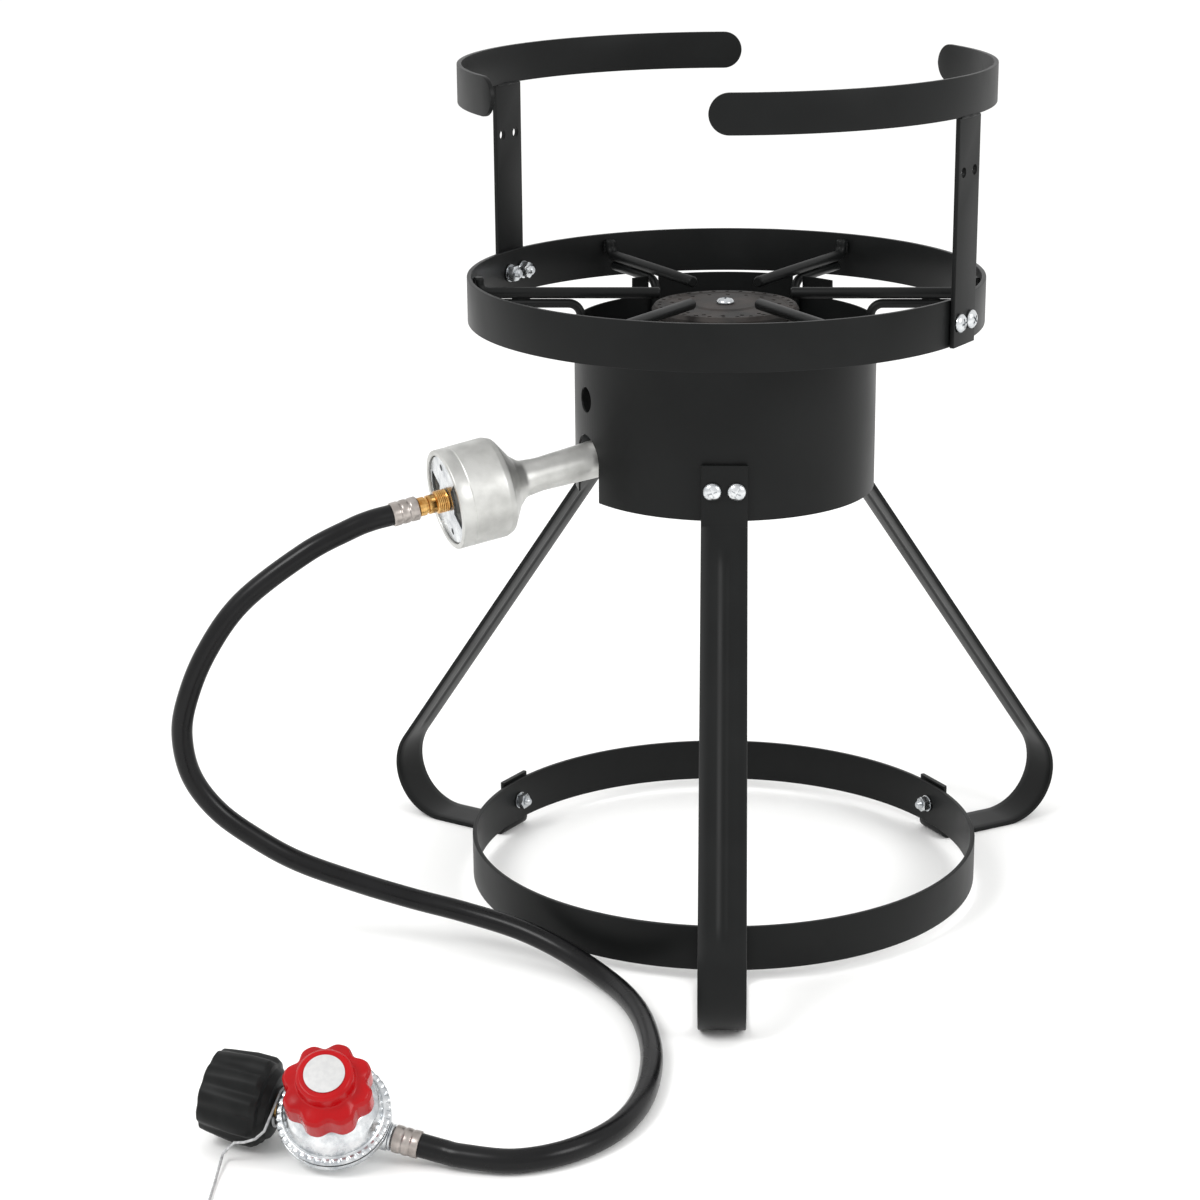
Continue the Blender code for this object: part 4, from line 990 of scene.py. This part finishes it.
print("guard is", 2 * GUARD_R / MM, "mm across")

# %% [markdown]
# ## Burner
#
# The cast bowl sits on a flat bridge across the guard. Its cap has two rings of gas ports, and one long
# screw holds cap, bowl and bridge together. The bowl's elbow takes the venturi's spigot.

# %% Burner cap
cap = revolve(
    "cap",
    ease(in_mm([(0, 409), (20, 409), (22, 408), (40, 408), (42, 408.7), (46.8, 408.7), (48.5, 406), (48.5, 402.3),
                (0, 402.3)]), 0.9 * MM, False),
    128,
)
ports = []
for radius, count in ((43.5 * MM, 30), (36 * MM, 18)):
    for i in range(count):
        angle = math.tau * (i + 0.37) / count
        ports.append((radius * math.cos(angle), radius * math.sin(angle), 409 * MM))
cap = combine(cap, pegs(ports, 1.5 * MM, 30 * MM, 16), "DIFFERENCE")
put("burner_cap_casting", cap, STAND, "cast_iron", stands_for=["burner_cap"], crease=35)
print("cap has", len(ports), "ports")

# %% Burner bowl and bridge
AXIS_Z = VENTURI_Z + VENTURI_REACH * math.tan(math.radians(VENTURI_DIP))
ELBOW_R = 17.3 * MM
outside = [(0, 402 * MM), (50 * MM, 402 * MM), (50 * MM, 397 * MM), (46 * MM, 391 * MM), (30 * MM, 368 * MM),
           (ELBOW_R + 1 * MM, 350 * MM), (ELBOW_R, AXIS_Z - 4 * MM), (12 * MM, AXIS_Z - ELBOW_R + 2 * MM),
           (9 * MM, BRIDGE_TOP + GAP), (0, BRIDGE_TOP + GAP)]
bowl = revolve("bowl", ease(outside, 3 * MM, False, 4), 96)
elbow = revolve("elbow", [(0, -150.7 * MM), (ELBOW_R - 1 * MM, -150.7 * MM), (ELBOW_R, -151.7 * MM),
                          (ELBOW_R, -200.7 * MM), (0, -200.7 * MM)], 64)
bowl = combine(bowl, moved(elbow, STAND.inverted() @ VENTURI), "UNION")
socket = revolve("socket", in_mm([(0, -140), (13.3, -140), (13.3, -168.3), (0, -168.3)]), 64)
bowl = combine(bowl, moved(socket, STAND.inverted() @ VENTURI), "DIFFERENCE")
put("burner_bowl_casting", bowl, STAND, "cast_iron", stands_for=["burner_bowl"], crease=35)
bridge_x = GUARD_R - GUARD_T - 1.2 * MM - STRIP_T / 2
bridge_line = bend(
    [(bridge_x, 291 * MM), (bridge_x, BRIDGE_TOP - STRIP_T / 2), (-bridge_x, BRIDGE_TOP - STRIP_T / 2),
     (-bridge_x, 291 * MM)], 4 * MM)
bridge = sweep("bridge", flat_stations(bridge_line), box_outline(25 * MM, STRIP_T, 0.7 * MM))
put("burner_bridge_strip", bridge, spoke(VENTURI_AZIMUTH - 90), "black_coat", stands_for=["burner_bridge"])
print("burner axis meets the venturi at z =", round(AXIS_Z / MM, 1))

# %% [markdown]
# ## Venturi and air shutter
#
# Gas from a small jet drags air in through the windows of the bell, and the mixture runs up the tube to
# the burner. The bell, cone and tube are one casting, turned here from a profile with a machined rim. The
# shutter is a stamped disc with matching windows: turning it closes the air off.

# %% Kidney windows


def kidney(inner, outer, half_angle, towards):
    """A window shaped like a kidney, as an outline in a plane."""
    spread = [math.radians(towards + half_angle * (2 * k / 16 - 1)) for k in range(17)]
    far = [(outer * math.cos(a), outer * math.sin(a)) for a in spread]
    near = [(inner * math.cos(a), inner * math.sin(a)) for a in reversed(spread)]
    return ease(far + near, 1.5 * MM, True, 3)


WINDOW = (12.5 * MM, 26 * MM)
casting = ease(
    in_mm([(33, 0, 1.2), (33, -8, 0), (32.7, -8.6, 0), (32.7, -9.4, 0), (33.1, -10, 0), (33.2, -33.5, 3),
           (31.5, -38, 3), (18, -47, 5), (12.2, -53.5, 8), (11, -66, 8), (13, -123), (13, -168), (10.7, -168),
           (9, -62, 5), (16, -45), (29.5, -34), (29.5, -7, 1), (5.05, -7), (5.05, -3.2), (29.5, -3.2, 0.3),
           (29.5, 0, 0.8)]),
    0.5 * MM,
    True,
    5,
)
venturi = revolve("venturi", casting, 128)
for towards in (90, 270):
    venturi = combine(venturi, prism(kidney(*WINDOW, 38, towards), -12 * MM, 1 * MM), "DIFFERENCE")
put("venturi_casting", venturi, VENTURI, "cast_aluminium", stands_for=["venturi_tube"], crease=30)

disc = revolve("disc", ease(in_mm([(28.9, -1.4), (28.9, -2.9), (5.2, -2.9), (5.2, -1.4)]), 0.3 * MM, True, 2), 96)
for towards in (90, 270):
    disc = combine(disc, prism(kidney(*WINDOW, 36, towards), -8 * MM, 4 * MM), "DIFFERENCE")
disc = combine(disc, pegs([(22 * MM, 0, -2 * MM), (-22 * MM, 0, -2 * MM)], 2.2 * MM, 8 * MM), "DIFFERENCE")
put("air_shutter_disc", disc, VENTURI, "zinc", body="air_shutter", stands_for=["air_shutter"], crease=30)
print("bell is", round(2 * max(p.x for p in casting) / MM, 1), "mm across")

# %% Brass fitting and hose ferrules
fitting = in_mm([(5.7, 19), (6.2, 18.5), (6.2, 14.2), (5.2, 13.8), (5.2, 12.6), (6.2, 12.2), (6.2, 7.6), (5.9, 7)])
z = 6.4
while z > 0.2:
    fitting += [(7.2 * MM, z * MM), (7.6 * MM, (z - 0.5) * MM), (7.2 * MM, (z - 1.0) * MM)]
    z -= 1.25
fitting += in_mm([(7.6, -0.6), (7.2, -1.1), (4.75, -1.1), (4.75, -16), (1.6, -18), (0.8, -18), (0.8, -14), (2.2, -12),
                  (2.2, 19)])
put("orifice_fitting_brass", revolve("fitting", fitting, 64), VENTURI, "brass", stands_for=["orifice_fitting"])


SLEEVE_R = 7.9 * MM


def ferrule(start, end):
    """A pressed sleeve with two rolled grooves, along +Z."""
    outline = [(7.3 * MM, end), (SLEEVE_R, end - 0.6 * MM)]
    for place in (0.66, 0.34):
        middle = start + (end - start) * place
        for k in range(9):
            t = -1 + k / 4
            outline.append((SLEEVE_R - 0.45 * MM * math.cos(math.pi * t / 2) ** 2, middle - 1.6 * MM * t))
    outline += [(SLEEVE_R, start + 0.6 * MM), (7.3 * MM, start), (2.2 * MM, start), (2.2 * MM, end)]
    return revolve("ferrule", outline, 64)


put("burner_ferrule_sleeve", ferrule(19.3 * MM, 37 * MM), VENTURI, "sleeve", stands_for=["hose_ferrule_burner"])
put("regulator_ferrule_sleeve", ferrule(35.3 * MM, 50.7 * MM), OUTLET, "sleeve",
    stands_for=["hose_ferrule_regulator"])
print("ferrules are", round(2 * SLEEVE_R / MM, 1), "mm across")

# %% [markdown]
# ## Regulator
#
# The regulator is two zinc shells crimped together over a rubber diaphragm. The crimping tool leaves a
# row of small dents all round the flange. Turning the red knob presses on the spring inside and raises
# the gas pressure. The knob and its screw turn together, so they ride on one body.

# %% Regulator shells
FLANGE_R = 32.5 * MM


def dented(mesh, low, high, inner, marks, depth):
    """Press a row of dents into the face between two heights, outside the inner radius."""
    for vertex in mesh.vertices:
        away = math.hypot(vertex.co.x, vertex.co.y)
        if low <= vertex.co.z <= high and away > inner:
            angle = math.atan2(vertex.co.y, vertex.co.x)
            dip = max(0.0, math.cos(marks * angle)) ** 2
            vertex.co.z -= depth * dip
            scale = (away - 0.5 * depth * dip) / away
            vertex.co.x *= scale
            vertex.co.y *= scale
    return mesh


lower = ease([(0, 9 * MM), (22 * MM, 9 * MM), (24 * MM, 10 * MM), (FLANGE_R - 0.1 * MM, 10 * MM, 0.3 * MM),
              (FLANGE_R, 6 * MM, 1 * MM), (28.5 * MM, 4.5 * MM, 1 * MM), (26.5 * MM, 0, 3 * MM),
              (22 * MM, -7.5 * MM, 3 * MM), (18.5 * MM, -10 * MM, 1 * MM), (0, -10 * MM)], 0.4 * MM, False, 4)
body = revolve("regulator_lower", lower, 160)
to_inlet = REGULATOR.inverted() @ INLET
to_outlet = REGULATOR.inverted() @ OUTLET
stub = in_mm([(0, 33), (7.8, 33), (8.6, 32.2), (8.6, 0), (0, 0)])
body = combine(body, moved(revolve("stub", stub, 64), to_inlet), "UNION")
stub = in_mm([(0, 32.8), (7.2, 32.8), (8.2, 31.8), (8.2, 0), (0, 0)])
body = combine(body, moved(revolve("stub", stub, 64), to_outlet), "UNION")
put("regulator_lower_shell", body, REGULATOR, "zinc", stands_for=["regulator_body"], crease=35)

upper = ease(
    [(11 * MM, 36.5 * MM), (11 * MM, 33.5 * MM, 1.5 * MM), (14 * MM, 31.5 * MM, 2 * MM), (21 * MM, 28 * MM, 6 * MM),
     (26.4 * MM, 22 * MM, 6 * MM), (28.2 * MM, 16 * MM, 2 * MM), (28.4 * MM, 14.9 * MM, 0.5 * MM),
     (29.4 * MM, 14.3 * MM, 0.4 * MM), (30.6 * MM, 14.3 * MM, 0), (31.6 * MM, 14.2 * MM, 0),
     (FLANGE_R, 13.4 * MM, 0), (FLANGE_R, 11.8 * MM), (24.5 * MM, 11.8 * MM), (24.2 * MM, 16 * MM),
     (22.5 * MM, 20 * MM), (18 * MM, 25 * MM), (10 * MM, 29.6 * MM), (10 * MM, 31.2 * MM), (6.25 * MM, 31.2 * MM),
     (6.25 * MM, 36.5 * MM)], 0.4 * MM, True, 4)
bonnet = revolve("regulator_upper", upper, 320)
bonnet = dented(bonnet, 13 * MM, 14.5 * MM, 30 * MM, 40, 0.75 * MM)
put("regulator_upper_shell", bonnet, REGULATOR, "zinc", stands_for=["regulator_bonnet"], crease=38)

collar = in_mm([(6.6, 35), (7.6, 34.2), (7.6, 33.1), (3.4, 33.1), (3.4, 22), (1.9, 22), (1.9, 35)])
collar = ease(collar, 0.3 * MM, True, 2)
put("regulator_outlet_collar", revolve("collar", collar, 64), OUTLET, "zinc", stands_for=["regulator_outlet"])
print("regulator flange is", 2 * FLANGE_R / MM, "mm across")

# %% Knob, label and screw
knob = ease(
    in_mm([(0, 60), (14.4, 60, 1.4), (16, 58.4, 1.2), (16.6, 51.4, 2), (21, 49.9, 2), (24.6, 48.6, 2),
           (26, 45.8, 1.5), (26, 33.6, 0.8), (25.4, 33, 0.3), (23.6, 33, 0.3), (23.4, 46, 1), (9, 46.5, 1), (9, 38),
           (6.2, 38), (6.2, 50.3), (0, 50.3)]), 0.3 * MM, False, 4)


def lobe_depth(radius, z):
    """How deep the finger hollows are here: none on the hub, full on the skirt."""
    return 3.4 * MM * max(0.0, min(1.0, (radius - 17 * MM) / (8 * MM))) if z < 52 * MM else 0.0


knob = [(p.x, p.y, lobe_depth(p.x, p.y)) for p in knob]
put("regulator_knob_moulding", revolve("knob", knob, 320, lobes=8), REGULATOR, "red_plastic", body="regulator_knob",
    stands_for=["regulator_knob"], crease=40)
label = ease(in_mm([(0, 60.7), (11.5, 60.7), (11.5, 60.3), (0, 60.3)]), 0.15 * MM, False, 2)
put("knob_label_disc", revolve("label", label, 96), REGULATOR, "label_paper", body="regulator_knob",
    stands_for=["knob_label"])
print("knob is", round(2 * max(row[0] for row in knob) / MM, 1), "mm across")

# %% Cylinder nut and inlet nipple
nut = ease(
    in_mm([(21.2, 76.5, 0.5), (23.4, 75.4, 1), (24.2, 71, 2), (26.3, 55, 3), (26.3, 44, 2), (24.4, 40.9, 0.8),
           (21.5, 39.9, 0.8), (19, 36, 1), (13, 35, 0.5), (7.2, 35), (7.2, 41.2), (12, 41.2), (17.2, 47),
           (17.2, 76.5, 0.5)]),
    0.4 * MM, True, 4)


def flute_depth(radius, z):
    """Grip flutes: deepest round the middle, gone at the shoulder and inside."""
    if radius < 21 * MM:
        return 0.0
    return 2.6 * MM * max(0.0, min(1.0, (z - 39 * MM) / (5 * MM))) * (1 if z < 71 * MM else 0.5)


nut = [(p.x, p.y, flute_depth(p.x, p.y)) for p in nut]
put("tank_nut_moulding", revolve("nut", nut, 320, lobes=10), INLET, "black_plastic", body="tank_nut",
    stands_for=["tank_nut"], crease=40)
nipple = ease(in_mm([(4.2, 68), (6, 65.5), (6, 46), (10.5, 45), (10.5, 41.5), (6.8, 41.5), (6.8, 33.3), (2.6, 33.3),
                     (2.6, 68)]), 0.4 * MM, True, 3)
put("inlet_nipple_brass", revolve("nipple", nipple, 64), INLET, "brass", stands_for=["inlet_nipple"])
print("cylinder nut is", round(2 * max(row[0] for row in nut) / MM, 1), "mm across")

# %% Tie
loop = []
for i in range(31):
    angle = math.radians(390 - 10 * i)
    loop.append(REGULATOR @ Vector((33.75 * MM, 11.2 * MM * math.cos(angle), 11.2 * MM * math.sin(angle))))
tail = [REGULATOR @ Vector((x * MM, y * MM, z * MM))
        for x, y, z in ((33.8, 14, 11), (34.2, 21, 10), (38, 26, 8), (44, 28.6, 5.5), (50, 29.2, 3))]
tail += [Vector(p) for p in ((-0.2810, -0.3700, 0.0050), (-0.2814, -0.3740, 0.0034), (-0.2812, -0.3950, 0.0014),
                             (-0.2805, -0.4320, 0.0012))]
put("tag_tie_cord", tube("tie", loop + tail, 0.8 * MM, 16), Matrix(), "nylon", stands_for=["tag_tie"])
print("tie runs", round(sum((b - a).length for a, b in zip(loop + tail, (loop + tail)[1:])) / MM), "mm")

# %% [markdown]
# ## Parts kept from the CAD
#
# The diaphragm, spring, spring plate, seal and adjusting screw are inside the regulator. Their CAD solids
# have the right shape, so they stay and only get their finishes.

# %% Finish the kept parts
replaced = {n for piece in bpy.data.objects for n in piece.get("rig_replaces", [])}
slots = {entry["node"]: entry["material_slot"] for entry in frame["record"]["subparts"]}
kept = sorted(set(frame["nodes"]) - replaced)
for name in kept:
    for slot in frame["nodes"][name].material_slots:
        slot.material = MATERIALS[slots[name]]
print("kept from the CAD:", ", ".join(kept))

# %% [markdown]
# ## Floor and light
#
# A wide pale floor and an even white sky stand in for a light tent, which is how bright metal and black
# paint are shown together. One large soft light from the upper left gives the round parts their turn.

# %% Floor
paper = bpy.data.materials.new("pale_floor")
paper.use_nodes = True
tree = paper.node_tree
shader = tree.nodes["Principled BSDF"]
fibre = node(tree, "ShaderNodeTexNoise", {"Scale": 40.0, "Detail": 2.0})
tint = node(tree, "ShaderNodeValToRGB", {"Fac": fibre.outputs["Fac"]})
tint.color_ramp.elements[0].color = colour("#fbfbfa")
tint.color_ramp.elements[1].color = colour("#fefefd")
tree.links.new(tint.outputs["Color"], shader.inputs["Base Color"])
shader.inputs["Roughness"].default_value = 0.9
shader.inputs["Specular IOR Level"].default_value = 0.1
bm = bmesh.new()
bmesh.ops.create_grid(bm, x_segments=1, y_segments=1, size=20)
floor_mesh = from_bmesh("floor", bm, recalculate=False)
floor_mesh.materials.append(paper)
floor = bpy.data.objects.new("floor", floor_mesh)
floor.location = (0, 0, -0.0002)
bpy.context.scene.collection.objects.link(floor)
print("floor laid")

# %% Lights
world = bpy.data.worlds.new("white_sky")
world.use_nodes = True
world.node_tree.nodes["Background"].inputs["Color"].default_value = (1, 1, 1, 1)
world.node_tree.nodes["Background"].inputs["Strength"].default_value = 1.05
bpy.context.scene.world = world


def soft_light(name, place, aim, size, power):
    data = bpy.data.lights.new(name, "AREA")
    data.shape = "DISK"
    data.size = size
    data.energy = power
    light = bpy.data.objects.new(name, data)
    light.location = place
    light.rotation_euler = (Vector(aim) - Vector(place)).to_track_quat("-Z", "Y").to_euler()
    bpy.context.scene.collection.objects.link(light)
    return light


soft_light("key", (-1.6, -1.6, 2.4), (0, 0, 0.25), 1.2, 40)
soft_light("fill", (1.8, -1.2, 1.4), (0, 0, 0.25), 1.0, 18)
bpy.context.scene.view_settings.view_transform = "Standard"
print("lit")
